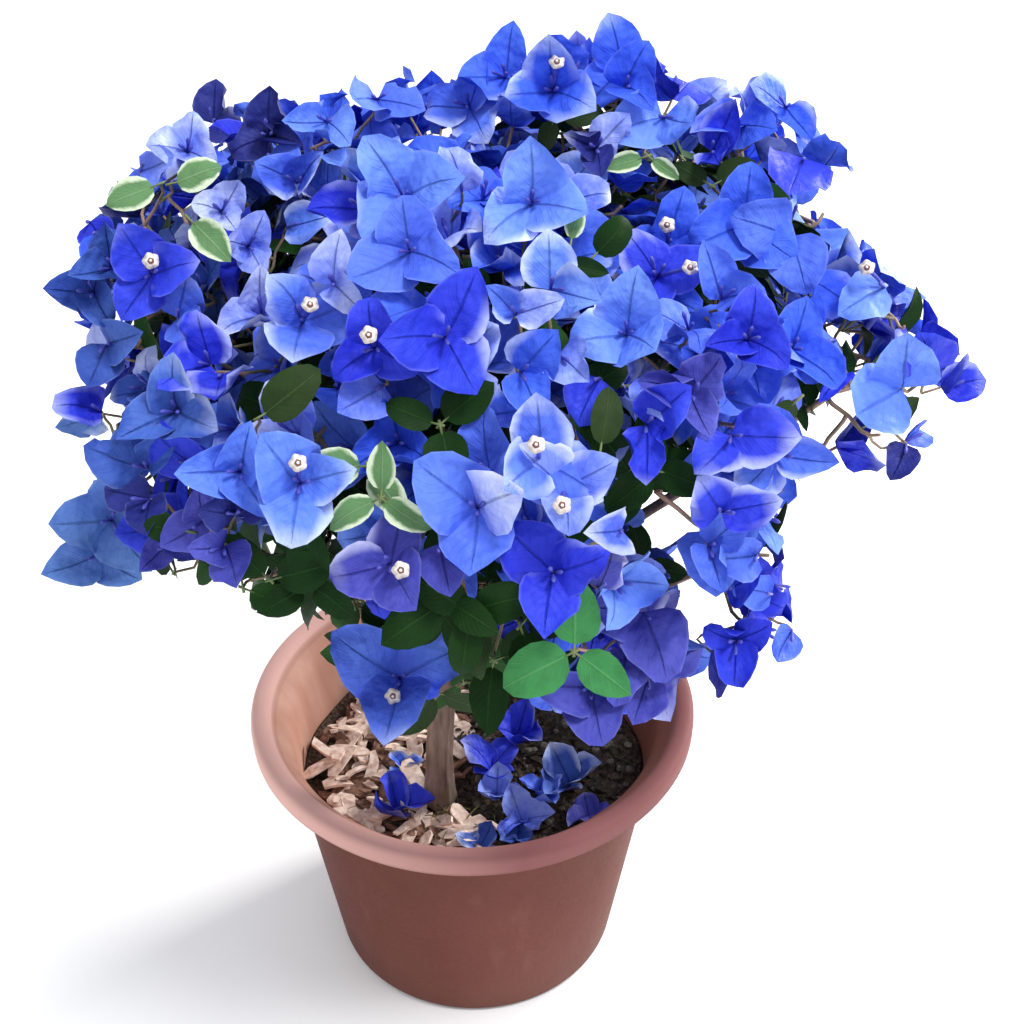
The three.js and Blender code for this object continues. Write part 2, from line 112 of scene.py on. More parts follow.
def fan(pole, ring):
    """A triangle from a pole to each side of a ring of points."""
    return np.stack([np.full(len(ring), pole), ring, np.roll(ring, -1)], -1)


def ring_faces(rows, sides):
    """Quads between rings of points, numbered ring by ring, and a fan from a pole at either end. The
    two poles are numbered after the rings."""
    index = np.arange(rows * sides).reshape(rows, sides)
    onward = np.roll(index, -1, 1)
    quads = np.stack([index[:-1], onward[:-1], onward[1:], index[1:]], -1).reshape(-1, 4)
    first = fan(index.size, index[0])[:, BACKWARD]
    return [quads, np.concatenate([first, fan(index.size + 1, index[-1])])]


def repeated(template, step, count):
    """The faces of one shape numbered again for each of many, whose points follow one another."""
    return (template + step * np.arange(count)[:, None, None]).reshape(-1, template.shape[1])


# %% [markdown]
# Real surfaces are never one flat colour. A finish is written as plain arithmetic: a Field wraps a
# node's socket, so that adding or multiplying two of them adds the Math nodes, and a Finish adds any
# other node by its kind, its settings and its inputs.

# %% Finishes as arithmetic
class Field:
    """A number or colour that changes over a surface."""

    def __init__(self, finish, socket):
        self.finish = finish
        self.socket = socket

    def maths(self, operation, first, second, clamp=False):
        settings = {"operation": operation, "use_clamp": clamp}
        return self.finish.node("Math", settings, {0: first, 1: second})

    def __add__(self, other):
        return self.maths("ADD", self, other)

    def __sub__(self, other):
        return self.maths("SUBTRACT", self, other)

    def __mul__(self, other):
        return self.maths("MULTIPLY", self, other)

    def __rsub__(self, other):
        return self.maths("SUBTRACT", other, self)

    __radd__ = __add__
    __rmul__ = __mul__

    def size(self):
        return self.maths("ABSOLUTE", self, 0.0)

    def sine(self):
        return self.maths("SINE", self, 0.0)

    def larger(self, other):
        return self.maths("MAXIMUM", self, other)

    def between(self, low, high):
        """0 at low, 1 at high, and clamped outside."""
        scaled = self.maths("SUBTRACT", self, low)
        return self.maths("DIVIDE", scaled, high - low, clamp=True)

# %% [markdown]
# A finish owns the shader. It feeds a number, a colour or a Field to a socket, and has a short
# method for each kind of node that comes again and again.

# %% A finish and its nodes
def linear(red, green, blue):
    """A display colour from 0 to 255 as the light it stands for."""
    share = np.array([red, green, blue]) / 255
    light = np.where(share <= 0.04045, share / 12.92, ((share + 0.055) / 1.055) ** 2.4)
    return (*light.tolist(), 1.0)


class Finish:
    """A material with its Principled shader, built up node by node."""

    def __init__(self, name, roughness, shine):
        self.material = bpy.data.materials.new(name)
        self.material.use_nodes = True
        self.shader = self.material.node_tree.nodes["Principled BSDF"]
        self.shader.inputs["Roughness"].default_value = roughness
        self.shader.inputs["Specular IOR Level"].default_value = shine

    def feed(self, socket, value):
        if isinstance(value, Field):
            self.material.node_tree.links.new(value.socket, socket)
        else:
            socket.default_value = value

    def node(self, kind, settings=None, inputs=None, output=0):
        made = self.material.node_tree.nodes.new("ShaderNode" + kind)
        for name, value in (settings or {}).items():
            setattr(made, name, value)
        for name, value in (inputs or {}).items():
            self.feed(made.inputs[name], value)
        return Field(self, made.outputs[output])

    def place(self, stretch=(1, 1, 1)):
        """Where a point lies on the piece, in metres, with each direction stretched."""
        where = self.node("TexCoord", output="Object")
        return self.node("Mapping", inputs={"Vector": where, "Scale": stretch})

    def noise(self, scale, detail=3.0, stretch=(1, 1, 1)):
        inputs = {"Vector": self.place(stretch), "Scale": scale, "Detail": detail}
        return self.node("TexNoise", inputs=inputs)

    def blend(self, share, first, second):
        """Mixes two colours by a share. Each is a Field, or a display colour from 0 to 255."""
        first, second = (c if isinstance(c, Field) else linear(*c) for c in (first, second))
        return self.node("Mix", {"data_type": "RGBA"}, {0: share, 6: first, 7: second}, output=2)

    def colour(self, value):
        self.feed(self.shader.inputs["Base Color"], value)

    def roughness(self, value):
        self.feed(self.shader.inputs["Roughness"], value)

    def relief(self, height, depth, strength=1.0):
        inputs = {"Height": height, "Distance": depth, "Strength": strength}
        self.feed(self.shader.inputs["Normal"], self.node("Bump", inputs=inputs))

    def part(self, vector, number):
        """One part of a vector: 0, 1 or 2 for x, y or z."""
        return self.node("SeparateXYZ", inputs={0: vector}, output=number)

    def picture_place(self):
        """Where a point lies in the piece's own picture coordinates."""
        return self.node("UVMap", {"uv_map": "UVMap"})

    def blade_place(self):
        """How far off the midrib a point of a blade lies, up to a half, and how far along it."""
        uv = self.picture_place()
        return (self.part(uv, 0) - 0.5).size(), self.part(uv, 1)


def two_tone(name, roughness, shine, low, high, scale):
    """A finish of two colours that a fine noise mixes."""
    finish = Finish(name, roughness, shine)
    finish.colour(finish.blend(finish.noise(scale, 2), low, high))
    return finish


# %% [markdown]
# The pot is turned about an upright axis, like the mould that made it. Its profile runs from the
# middle of the underside out to the foot, up the wall, round the rolled lip and down the inside.
# Corners of the profile are cut with small arcs, because a sharp plastic edge would catch no light.

# %% Pot shape
POT_HEIGHT = 172
LIP_RADIUS = 127
LIP_HEIGHT = 13
LIP_MOUTH_RADIUS = 118
BODY_RADIUS = 108.6
FOOT_RADIUS = 84
WALL = 3
FLOOR = 4
POT_ROUND = 192


def rounded(profile, radii, steps=6):
    """A profile of (radius, height) points whose corners are swapped for quadratic arcs: each arc
    starts and ends its radius away from the corner, and bends toward it."""
    points = np.array(profile, float)
    result = [points[0]]
    for before, corner, after, radius in zip(points[:-2], points[1:-1], points[2:], radii):
        start = corner + radius * unit(before - corner)
        end = corner + radius * unit(after - corner)
        t = np.linspace(0, 1, steps)[:, None]
        result.extend((1 - t) ** 2 * start + 2 * t * (1 - t) * corner + t ** 2 * end)
    result.append(points[-1])
    return np.array(result)


def densified(profile, longest):
    """A profile with points added so that no step is longer than the longest allowed."""
    parts = []
    for start, end in zip(profile[:-1], profile[1:]):
        count = max(1, math.ceil(np.linalg.norm(end - start) / longest))
        parts.append(start + (end - start) * np.linspace(0, 1, count, endpoint=False)[:, None])
    return np.concatenate([*parts, profile[-1:]])


def turned(profile, sides, change=None):
    """Point (i, j) is profile point i turned j steps about the upright axis. The first and last
    profile points lie on the axis and become single poles. change moves the rings' points."""
    angle = np.linspace(0, 2 * np.pi, sides, endpoint=False)
    ring = np.stack([np.cos(angle), np.sin(angle)], -1)
    rows = profile[1:-1]
    wall = np.concatenate([rows[:, None, :1] * ring, np.repeat(rows[:, None, 1:], sides, 1)], -1)
    if change is not None:
        wall = change(wall)
    poles = np.array([[0, 0, profile[0, 1]], [0, 0, profile[-1, 1]]])
    return np.concatenate([wall.reshape(-1, 3), poles]), ring_faces(len(rows), sides)

# %% [markdown]
# The corners of the profile follow from the pot's sizes. The turned wall is then made a little less
# than round, and the share of the profile walked so far is kept for the finish.

# %% The pot's profile
LIP_FOOT = POT_HEIGHT - LIP_HEIGHT
CORNER_RADII = [5, 1.5, 2.5, 5, 3.4, 5, 3]
LONGEST_STEP = 6
STIFF_FOOT = 20
SWELL_RUN = 120
pot_profile = rounded([
    (0, 0),
    (FOOT_RADIUS, 0),
    (BODY_RADIUS, LIP_FOOT),
    (LIP_RADIUS - 0.4, LIP_FOOT),
    (LIP_RADIUS, POT_HEIGHT),
    (LIP_MOUTH_RADIUS, POT_HEIGHT),
    (BODY_RADIUS - WALL, LIP_FOOT - 1),
    (FOOT_RADIUS - WALL, FLOOR),
    (0, FLOOR),
], CORNER_RADII)


def moulded(wall):
    """A thin moulded wall is never quite round: the radius swells and shrinks by a few tenths of a
    millimetre, three and five times round, and only above the foot."""
    x, y, z = np.moveaxis(wall, -1, 0)
    angle = np.arctan2(y, x)
    share = np.clip((z - STIFF_FOOT) / SWELL_RUN, 0, 1)
    waves = 0.002 * np.sin(3 * angle + 0.4) + 0.001 * np.sin(5 * angle + z / 60)
    swell = 1 + share * waves - 0.003 * share
    return np.stack([x * swell, y * swell, z], -1)


pot_profile = densified(pot_profile, LONGEST_STEP)
pot_points, pot_faces = turned(pot_profile, POT_ROUND, moulded)
walked = np.concatenate([[0], np.cumsum(np.linalg.norm(np.diff(pot_profile, axis=0), axis=1))])
walked = walked / walked[-1]
pot_walk = np.concatenate([np.repeat(walked[1:-1], POT_ROUND), walked[[0, -1]]])
MOUTH_WALK = float(walked[np.argmax((pot_profile[:, 0] < LIP_MOUTH_RADIUS - 1.5) & (walked > 0.5))])
print("the pot's inside starts at share", round(MOUTH_WALK, 3), "of its profile")

# %% [markdown]
# The pot's plastic is a dull clay red. The lip and the inside are a paler chalky pink, partly sun
# bleach and partly painted light. On the left they are painted much paler as sunlight, and the inside
# on the right is painted darker as shade, so the finish reads how far round the profile a point lies
# from the piece's own picture coordinates. Noise shifts the tone, dulls the surface again, and leaves
# dust low on the wall.

# %% Pot finish
PAINTED_SUN_EDGE = (-0.08, 0.05)
DUST_TOP = 0.06
LIP_LINE = (0.158, 0.162)
pot_finish = Finish("clay_plastic", 0.5, 0.12)
cloud = pot_finish.noise(9, 4)
speck = pot_finish.noise(420, 2)
scuff = pot_finish.noise(60, 6, (1, 1, 0.25))
clay = pot_finish.blend(cloud.between(0.3, 0.7), (94, 50, 42), (108, 60, 51))
height = pot_finish.part(pot_finish.place(), 2)
aside = pot_finish.part(pot_finish.place(), 0)
# Painted sunlight: 1 on the pot's left side and 0 on its right, with a ragged edge between.
painted_sunlit_side = 1 - (aside + cloud * 0.04).between(*PAINTED_SUN_EDGE)
dust = (1 - height.between(0.0, DUST_TOP)) * cloud.between(0.4, 0.6) * 0.35
clay = pot_finish.blend(dust, clay, (108, 80, 68))
worn = scuff.between(0.6, 0.72) * 0.2
clay = pot_finish.blend(worn, clay, (130, 90, 80))
walk = pot_finish.part(pot_finish.picture_place(), 0)
inside = walk.between(MOUTH_WALK, MOUTH_WALK + 0.01)
on_lip = height.between(*LIP_LINE) * (1 - inside)
# The lip is paler than the wall, partly bleach and partly painted light: sunlit pink on the left, and
# duller as painted shade on the right.
lip_tone_and_painted_light = pot_finish.blend(painted_sunlit_side, (132, 84, 84), (230, 182, 172))
clay = pot_finish.blend(on_lip * (0.8 + 0.2 * cloud), clay, lip_tone_and_painted_light)
# The inside is paler than the wall, partly bleach and partly painted light: pale as painted sunlight on the
# left, and dark red-brown as painted shade on the right.
inside_bleach_and_painted_light = pot_finish.blend(scuff.between(0.35, 0.65), (188, 138, 120), (204, 158, 140))
inside_bleach_and_painted_light = pot_finish.blend(painted_sunlit_side, (122, 76, 66), inside_bleach_and_painted_light)
clay = pot_finish.blend(inside, clay, inside_bleach_and_painted_light)
pot_finish.colour(clay)
pot_finish.roughness(0.42 + 0.25 * speck + 0.12 * scuff)
pot_finish.relief(speck * 0.4 + scuff, 0.0004, 0.5)
make_piece("pot_wall", pot_points, pot_faces, pot_finish.material, "pot",
           np.stack([pot_walk, pot_walk], -1), replaces=["pot"])

# %% [markdown]
# Soil fills the pot to nearly five centimetres below the lip's top. Its top is a disc of rings whose
# height is a sum of waves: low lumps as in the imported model, and small crumbs on them. The side and
# underside close the body, though the pot hides them.

# %% Soil shape
SEAT_GAP = 0.3
SOIL_LEVEL = 124
SOIL_LUMP = 2.5
FLAT_GROUND = (24, 46)
TRUNK_FOOT = np.array([-18.5, -35.5, SOIL_LEVEL + SEAT_GAP])


def inner_wall(height):
    """Radius of the pot's inner wall, a straight line from its floor to the lip's foot."""
    share = (height - FLOOR) / (LIP_FOOT - 1 - FLOOR)
    return FOOT_RADIUS - WALL + share * (BODY_RADIUS - FOOT_RADIUS)


def smoothstep(x, low, high):
    """0 below low, 1 above high, and between them three squares of the share less two cubes."""
    share = np.clip((x - low) / (high - low), 0, 1)
    return share * share * (3 - 2 * share)


def soil_height(x, y):
    """Low rolling lumps that flatten out round the trunk."""
    lumpy = smoothstep(np.hypot(x - TRUNK_FOOT[0], y - TRUNK_FOOT[1]), *FLAT_GROUND)
    return SOIL_LEVEL + lumpy * SOIL_LUMP * np.sin(x / 13 + 1.3) * np.cos(y / 11 - 0.4)


CRUMB_WAVES = (9.0, 6.1, 4.3, 3.1, 2.3)
CRUMB_HEIGHT = 0.11
EDGE_FALL = 1.5
EDGE_RUN = 6
SOIL_RINGS = 84
SOIL_ROUND = 220


def crumbs(x, y):
    """Small grains: a sum of crossed sine waves a few millimetres long, each turned from the last."""
    total = np.zeros_like(x)
    for k, wave in enumerate(CRUMB_WAVES):
        turn = 2.4 * k
        along = x * np.cos(turn) + y * np.sin(turn)
        across = y * np.cos(turn) - x * np.sin(turn)
        bent = np.sin(along * 6.28 / wave + 2 * np.sin(across * 2.1 / wave))
        total += wave * bent * np.sin(across * 5.7 / wave)
    return total * CRUMB_HEIGHT


soil_edge = inner_wall(SOIL_LEVEL - SOIL_LUMP) - SEAT_GAP - 0.3
soil_foot = inner_wall(FLOOR + SEAT_GAP) - SEAT_GAP - 0.9
rings = np.linspace(soil_edge, 1.0, SOIL_RINGS)
soil_profile = np.array([
    (0, FLOOR + SEAT_GAP),
    (soil_foot, FLOOR + SEAT_GAP),
    *[(ring, SOIL_LEVEL) for ring in rings],
    (0, SOIL_LEVEL),
])


def heaped(wall):
    """Lifts the rings of the top to the soil's height, lowest against the pot."""
    x, y, z = np.moveaxis(wall, -1, 0)
    inward = np.clip((soil_edge - np.hypot(x, y)) / EDGE_RUN, 0, 1)
    lifted = soil_height(x, y) + (crumbs(x, y) - 0.4) * inward - EDGE_FALL * (1 - inward)
    return np.stack([x, y, np.where(z > SOIL_LEVEL - 1, lifted, z)], -1)


soil_points, soil_faces = turned(soil_profile, SOIL_ROUND, heaped)

# %% [markdown]
# Potting soil is dark where it is damp and grey where it has dried. Cells of several sizes give the
# grains, and the same cells raise them a little.

# %% Soil finish
soil_finish = Finish("potting_soil", 0.95, 0.2)
damp = soil_finish.noise(38, 4)
grain_size = {"Vector": soil_finish.place(), "Scale": 420.0}
grain = soil_finish.node("TexVoronoi", inputs=grain_size)
earth = soil_finish.blend(damp.between(0.35, 0.65), (44, 38, 33), (84, 72, 62))
soil_finish.colour(soil_finish.blend(grain.between(0.1, 0.8), (98, 84, 72), earth))
soil_finish.relief(grain, 0.002, 0.7)
make_piece("soil_top", soil_points, soil_faces, soil_finish.material, "soil", replaces=["soil"])

# %% [markdown]
# Chips of bark and dead leaf lie over the soil, thick on the left and few on the right. The pale chips
# on the left are painted paler still, as the sunlight that falls there. A chip is a bowed slab with a
# ragged ten-sided outline. A layer of them is made at once, one row of the arrays for each, and seeded
# numbers turn, stretch and tilt them.

# %% Chips of bark
random = np.random.default_rng(7)
CHIP_SIDES = 10
CHIP_BLUNTNESS = 0.65
DRAWS_FOR_EACH = 6
FOOT_ROOM = 13
CHIP_INSET = 9


def slabs(middle, turn, length, width, thick, tilt, bow):
    """Ragged slabs: corner k lies at its angle on a blunt oval of the slab's length and width, times a
    random share. The slab bends aside and down by the square of the distance along. Top and bottom
    are fans. The blunt oval is an ellipse whose cosine and sine are raised to a power below one."""
    count = len(turn)
    angle = np.arange(CHIP_SIDES) * 2 * np.pi / CHIP_SIDES
    angle = angle + random.uniform(-0.2, 0.2, (count, CHIP_SIDES))
    share = random.uniform(0.8, 1.08, (count, CHIP_SIDES))
    blunt = [np.sign(wave) * np.abs(wave) ** CHIP_BLUNTNESS for wave in (np.cos(angle), np.sin(angle))]
    along = blunt[0] * share * length[:, None] / 2
    across = blunt[1] * share * width[:, None] / 2
    across += random.uniform(-0.5, 0.5, (count, 1)) * along ** 2 / length[:, None]
    flat = np.stack([along, across], -1)
    flat = np.concatenate([flat, np.zeros((count, 1, 2))], 1)
    arch = bow[:, None] * (0.6 - (2 * flat[..., 0] / length[:, None]) ** 2)
    layers = [arch + side * thick[:, None] / 2 for side in (1, -1)]
    local = np.concatenate([np.concatenate([flat, high[..., None]], -1) for high in layers], 1)
    heading = unit(np.stack([np.cos(turn), np.sin(turn), tilt[:, 0]], -1))
    level = unit(np.stack([-np.sin(turn), np.cos(turn), tilt[:, 1]], -1))
    above = unit(np.cross(heading, level))
    level = np.cross(above, heading)
    points = (middle[:, None] + local[..., :1] * heading[:, None] + local[..., 1:2] * level[:, None]
              + local[..., 2:] * above[:, None])
    k = np.arange(CHIP_SIDES)
    after = (k + 1) % CHIP_SIDES
    low = CHIP_SIDES + 1
    top = fan(CHIP_SIDES, k)
    bottom = (top + low)[:, BACKWARD]
    rim = [np.stack([k, k + low, after + low], -1), np.stack([k, after + low, after], -1)]
    template = np.concatenate([top, bottom, *rim])
    return points.reshape(-1, 3), [repeated(template, 2 * low, count)]

# %% [markdown]
# Chips lie where seeded draws put them, each kept with a chance that depends on its place. Pale,
# brown and dark chips are three layers, with their own sizes and heights.

# %% Scattering the chips
def scatter(count, inside, keep):
    """Seeded places on the soil: drawn evenly over its disc, and kept with the chance that the keep
    function gives for each place. Nothing lies in the trunk."""
    drawn = count * DRAWS_FOR_EACH
    radius = inside * np.sqrt(random.uniform(0, 1, drawn))
    angle = random.uniform(0, 2 * np.pi, drawn)
    x = radius * np.cos(angle)
    y = radius * np.sin(angle)
    clear = np.hypot(x - TRUNK_FOOT[0], y - TRUNK_FOOT[1]) > FOOT_ROOM
    kept = clear & (random.uniform(0, 1, drawn) < keep(x, y))
    return x[kept][:count], y[kept][:count]


def lay_chips(count, keep, lengths, lift):
    """A layer of chips on the soil, with its own range of lengths and height above the ground."""
    x, y = scatter(count, soil_edge - CHIP_INSET, keep)
    number = len(x)
    length = random.uniform(*lengths, number)
    z = soil_height(x, y) + random.uniform(*lift, number)
    return slabs(np.stack([x, y, z], -1), random.uniform(0, 6.28, number), length,
                 length * random.uniform(0.2, 0.5, number), random.uniform(0.8, 2.0, number),
                 random.normal(0, 0.28, (number, 2)), random.uniform(0, 2.2, number))


def sunny(x, y):
    """High on the left and toward the front, and near nothing on the right: the patch of soil where the
    pale chips paint sunlight.
    """
    return np.clip(0.5 - (x + 0.25 * y + 12) / 36, 0.0, 1)


def shady(x, y):
    return np.clip(1.1 - sunny(x, y), 0, 1)


# The pale chips' light tone is partly painted sunlight, and they lie thickest where it falls.
chip_layers = {
    "bark_chips_pale_sunlit": (lay_chips(120, sunny, (12, 27), (1.6, 6.0)), (250, 230, 214), (212, 180, 162)),
    "bark_chips_brown": (lay_chips(170, sunny, (8, 20), (0.4, 3.6)), (150, 114, 96), (84, 58, 46)),
    "bark_chips_dark": (lay_chips(320, shady, (4, 12), (0.0, 1.8)), (78, 68, 58), (42, 38, 33)),
}
for name, ((points, faces), light, dark) in chip_layers.items():
    finish = Finish(name, 0.9, 0.2)
    fibre = finish.noise(240, 5, (1, 1, 2.5))
    finish.colour(finish.blend(fibre.between(0.35, 0.65), dark, light))
    finish.relief(fibre, 0.0008, 0.6)
    make_piece(name, points, faces, finish.material, "soil", smooth=False)

# %% [markdown]
# Small grey stones show on the shaded right side. A stone is a ball whose radius is pushed about by a
# few waves, flattened and sunk a little into the soil.

# %% Small stones
STONE_ROWS = 6
STONE_SIDES = 8
STONE_INSET = 6
STONE_FLATNESS = 0.7
STONE_LIFT = 0.8
STONES = 150


def stones(middle, size):
    """Ball points at latitude i and longitude j, each stretched by its stone's three half-sizes."""
    rise = np.linspace(-np.pi / 2, np.pi / 2, STONE_ROWS + 1)[1:-1]
    angle = np.linspace(0, 2 * np.pi, STONE_SIDES, endpoint=False)
    belt = np.stack([np.cos(rise)[:, None] * np.cos(angle), np.cos(rise)[:, None] * np.sin(angle),
                     np.repeat(np.sin(rise)[:, None], STONE_SIDES, 1)], -1).reshape(-1, 3)
    ball = np.concatenate([belt, [[0, 0, -1], [0, 0, 1]]])
    bumpy = 1 + random.normal(0, 0.07, (len(size), len(ball), 1))
    points = middle[:, None] + ball * bumpy * size[:, None]
    faces = ring_faces(STONE_ROWS - 1, STONE_SIDES)
    return points.reshape(-1, 3), [repeated(block, len(ball), len(size)) for block in faces]


x, y = scatter(STONES, soil_edge - STONE_INSET, shady)
stone_size = random.uniform(1.3, 3.4, (len(x), 1)) * random.uniform(0.7, 1.2, (len(x), 3))
stone_size = stone_size * (1, 1, STONE_FLATNESS)
stone_finish = Finish("grey_stone", 0.8, 0.3)
speckle = stone_finish.noise(500, 4)
patch = stone_finish.noise(60, 2)
grey = stone_finish.blend(speckle.between(0.4, 0.6), (92, 88, 82), (134, 128, 120))
stone_finish.colour(stone_finish.blend(patch.between(0.4, 0.6) * 0.6, grey, (84, 70, 58)))
stone_finish.relief(speckle, 0.0004, 0.5)
stone_places = np.stack([x, y, soil_height(x, y) + STONE_LIFT], -1)
make_piece("small_stones", *stones(stone_places, stone_size), stone_finish.material, "soil")

# %% [markdown]
# Trunk and boughs are limbs along Bezier curves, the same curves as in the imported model. A curve is
# walked by share of its length, so that rings come evenly. The frame that carries the rings turns no
# more than the curve does, or the bark would twist.

# %% Curves and limbs
CURVE_PLACES = 201


class Curve:
    """A Bezier curve. A point at t is the sum of the control points, weighed by the binomial terms
    of 1 - t and t. The length walked so far is kept at many places."""

    def __init__(self, *controls):
        self.controls = np.array(controls, float)
        self.places = np.linspace(0, 1, CURVE_PLACES)
        steps = np.linalg.norm(np.diff(self.at(self.places), axis=0), axis=1)
        self.walked = np.concatenate([[0], np.cumsum(steps)])

    def at(self, t):
        t = np.asarray(t, float)[..., None]
        top = len(self.controls) - 1
        return sum(math.comb(top, k) * (1 - t) ** (top - k) * t ** k * p
                   for k, p in enumerate(self.controls))

    def place(self, share):
        return np.interp(np.asarray(share) * self.walked[-1], self.walked, self.places)

    def point(self, share):
        return self.at(self.place(share))

    def heading(self, share):
        t = self.place(share)
        return unit(self.at(np.minimum(t + 1e-4, 1)) - self.at(np.maximum(t - 1e-4, 0)))


def carried(headings):
    """Two directions square to a path at each of its points: picked at the start, and then turned
    from each point to the next by the turn between the two headings."""
    start = headings[0]
    least = np.eye(3)[np.argmin(np.abs(start))]
    normals = [unit(np.cross(start, unit(np.cross(start, least))))]
    for before, after in zip(headings[:-1], headings[1:]):
        turn = Vector(before).rotation_difference(Vector(after))
        normals.append(np.array(turn @ Vector(normals[-1])))
    normals = np.array(normals)
    return normals, np.cross(headings, normals)


def limb(curve, radius_at, sides, steps):
    """Point (i, j) lies on ring i at angle j: the curve's point at share i plus the radius there
    along the two carried directions. Both ends close in a point at their middle."""
    share = np.linspace(0, 1, steps + 1)
    normals, binormals = carried(curve.heading(share))
    angle = np.linspace(0, 2 * np.pi, sides, endpoint=False)
    middle = curve.point(share)
    radius = radius_at(share[:, None], angle[None])[..., None]
    around = np.sin(angle)[:, None] * normals[:, None] - np.cos(angle)[:, None] * binormals[:, None]
    rings = (middle[:, None] + radius * around).reshape(-1, 3)
    return np.concatenate([rings, middle[:1], middle[-1:]]), ring_faces(steps + 1, sides)

# %% [markdown]
# To tell what would touch what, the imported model's own small solids are made again, each with a
# search tree and the ball round it.

# %% Solids that can be searched
class Solid:
    """A small closed mesh with a search tree and the ball round it."""

    def __init__(self, points, faces):
        self.points = np.asarray(points, float).tolist()
        self.tree = BVHTree.FromPolygons(self.points, [list(face) for block in faces for face in block])
        low = np.min(points, axis=0)
        high = np.max(points, axis=0)
        self.middle = (low + high) / 2
        self.radius = np.linalg.norm(high - low) / 2

    def comes_within(self, other, gap):
        """Whether the two cross, or a corner of one lies nearer to the other than the gap."""
        if self.tree.overlap(other.tree):
            return True
        if any(self.tree.find_nearest(p, gap)[0] is not None for p in other.points):
            return True
        return any(other.tree.find_nearest(p, gap)[0] is not None for p in self.points)


# %% [markdown]
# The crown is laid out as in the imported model: lobes with a middle, a half-width and a half-height,
# and a bough from the trunk to each. Boughs that climb least leave the trunk lowest, so none cross.

# %% The lobes and the sizes of the limbs
UP = np.array([0.0, 0.0, 1.0])
CROWN_HEART = np.array([20.0, 0.0, 340.0])
TRUNK_FORK = np.array([4.0, -14.0, 352.0])
TRUNK_RADIUS = 8
TRUNK_TIP_RADIUS = 5.5
TRUNK_FLARE = 2
TRUNK_FLARE_SHARE = 0.12
FIRST_BOUGH_HEIGHT = 222
LAST_BOUGH_HEIGHT = 346
BOUGH_RADIUS = 3.4
BOUGH_TIP_RADIUS = 2
BOUGH_LEAD = 14
STEM_LENGTH = 34
LOBES = [
    ("top_right", (68, 54, 448), 88, 82, False),
    ("top_left", (-56, 36, 440), 82, 78, False),
    ("top_front", (4, -62, 430), 84, 78, False),
    ("right", (144, 30, 444), 80, 64, False),
    ("right_tip", (190, -30, 398), 62, 54, False),
    ("left", (-118, -4, 424), 74, 76, False),
    ("front_right", (90, -92, 400), 70, 68, False),
    ("front_left", (-72, -102, 396), 72, 64, False),
    ("front_centre", (18, -124, 386), 70, 66, False),
    ("left_tip", (-152, -62, 356), 58, 50, False),
    ("hang_right", (128, -78, 324), 46, 64, False),
    ("hang_front", (62, -102, 310), 52, 56, False),
    ("front_spray", (-22, -110, 288), 36, 40, False),
    ("skirt_left", (-66, -50, 330), 72, 46, True),
    ("skirt_front", (4, -84, 308), 50, 44, True),
    ("back_left", (-96, 104, 396), 92, 80, False),
    ("back_centre", (16, 130, 404), 92, 84, False),
    ("back_right", (120, 100, 392), 92, 80, False),
    ("back_skirt", (40, 64, 326), 84, 46, True),
]
names = [lobe[0] for lobe in LOBES]
middles = np.array([lobe[1] for lobe in LOBES], float)
half_sizes = np.array([(lobe[2], lobe[2], lobe[3]) for lobe in LOBES], float)
leafy = [lobe[4] for lobe in LOBES]

# %% [markdown]
# The trunk tapers straight, with a root flare. A bough leaves it level and bends toward its lobe, and
# is moved outward by tenths of a millimetre until it stands clear of the trunk.

# %% Trunk and boughs
trunk_curve = Curve(TRUNK_FOOT, TRUNK_FOOT + (0, 0, 90), TRUNK_FORK + (-10, -8, -80), TRUNK_FORK)


def trunk_radius(share, angle=0.0):
    """Straight taper from foot to fork, with a flare that dies out by the square near the foot."""
    flare = TRUNK_FLARE * np.maximum(0, 1 - share / TRUNK_FLARE_SHARE) ** 2
    return TRUNK_RADIUS + (TRUNK_TIP_RADIUS - TRUNK_RADIUS) * share + flare + 0 * angle


def bough_radius(share, angle=0.0):
    """Straight taper from root to tip."""
    return BOUGH_RADIUS + (BOUGH_TIP_RADIUS - BOUGH_RADIUS) * share + 0 * angle


def bough_curve(lobe, rank, clearance):
    """Out level from the trunk, then bent toward its lobe's middle, ending a stem's length short."""
    height = FIRST_BOUGH_HEIGHT + (LAST_BOUGH_HEIGHT - FIRST_BOUGH_HEIGHT) * rank / (len(LOBES) - 1)
    share = (height - TRUNK_FOOT[2]) / (TRUNK_FORK[2] - TRUNK_FOOT[2])
    axis = trunk_curve.point(share)
    outward = unit((middles[lobe] - axis) * (1, 1, 0))
    root = axis + outward * (trunk_radius(share) + clearance)
    bend = root + outward * BOUGH_LEAD
    onward = middles[lobe] - bend
    return Curve(root, bend, bend + onward * (1 - STEM_LENGTH / np.linalg.norm(onward)))


trunk_solid = Solid(*limb(trunk_curve, trunk_radius, sides=10, steps=12))
climbs = (middles[:, 2] - FIRST_BOUGH_HEIGHT) / np.hypot(*(middles - TRUNK_FORK)[:, :2].T)
bough_curves = {}
bough_solids = {}
for rank, lobe in enumerate(np.argsort(climbs, kind="stable")):
    clearance = SEAT_GAP
    while True:
        curve = bough_curve(lobe, rank, clearance)
        solid = Solid(*limb(curve, bough_radius, sides=6, steps=5))
        if not trunk_solid.comes_within(solid, SEAT_GAP):
            break
        clearance += 0.1
    bough_curves[int(lobe)] = curve
    bough_solids[int(lobe)] = solid
print(len(bough_curves), "boughs seated on the trunk")

# %% [markdown]
# Bark is a mesh with real relief: shallow furrows that run up the trunk, low swellings, and rings of
# old leaf scars. The radius is a product of waves in angle and height. A bough starts inside the
# trunk with a swollen collar, as a live joint does.

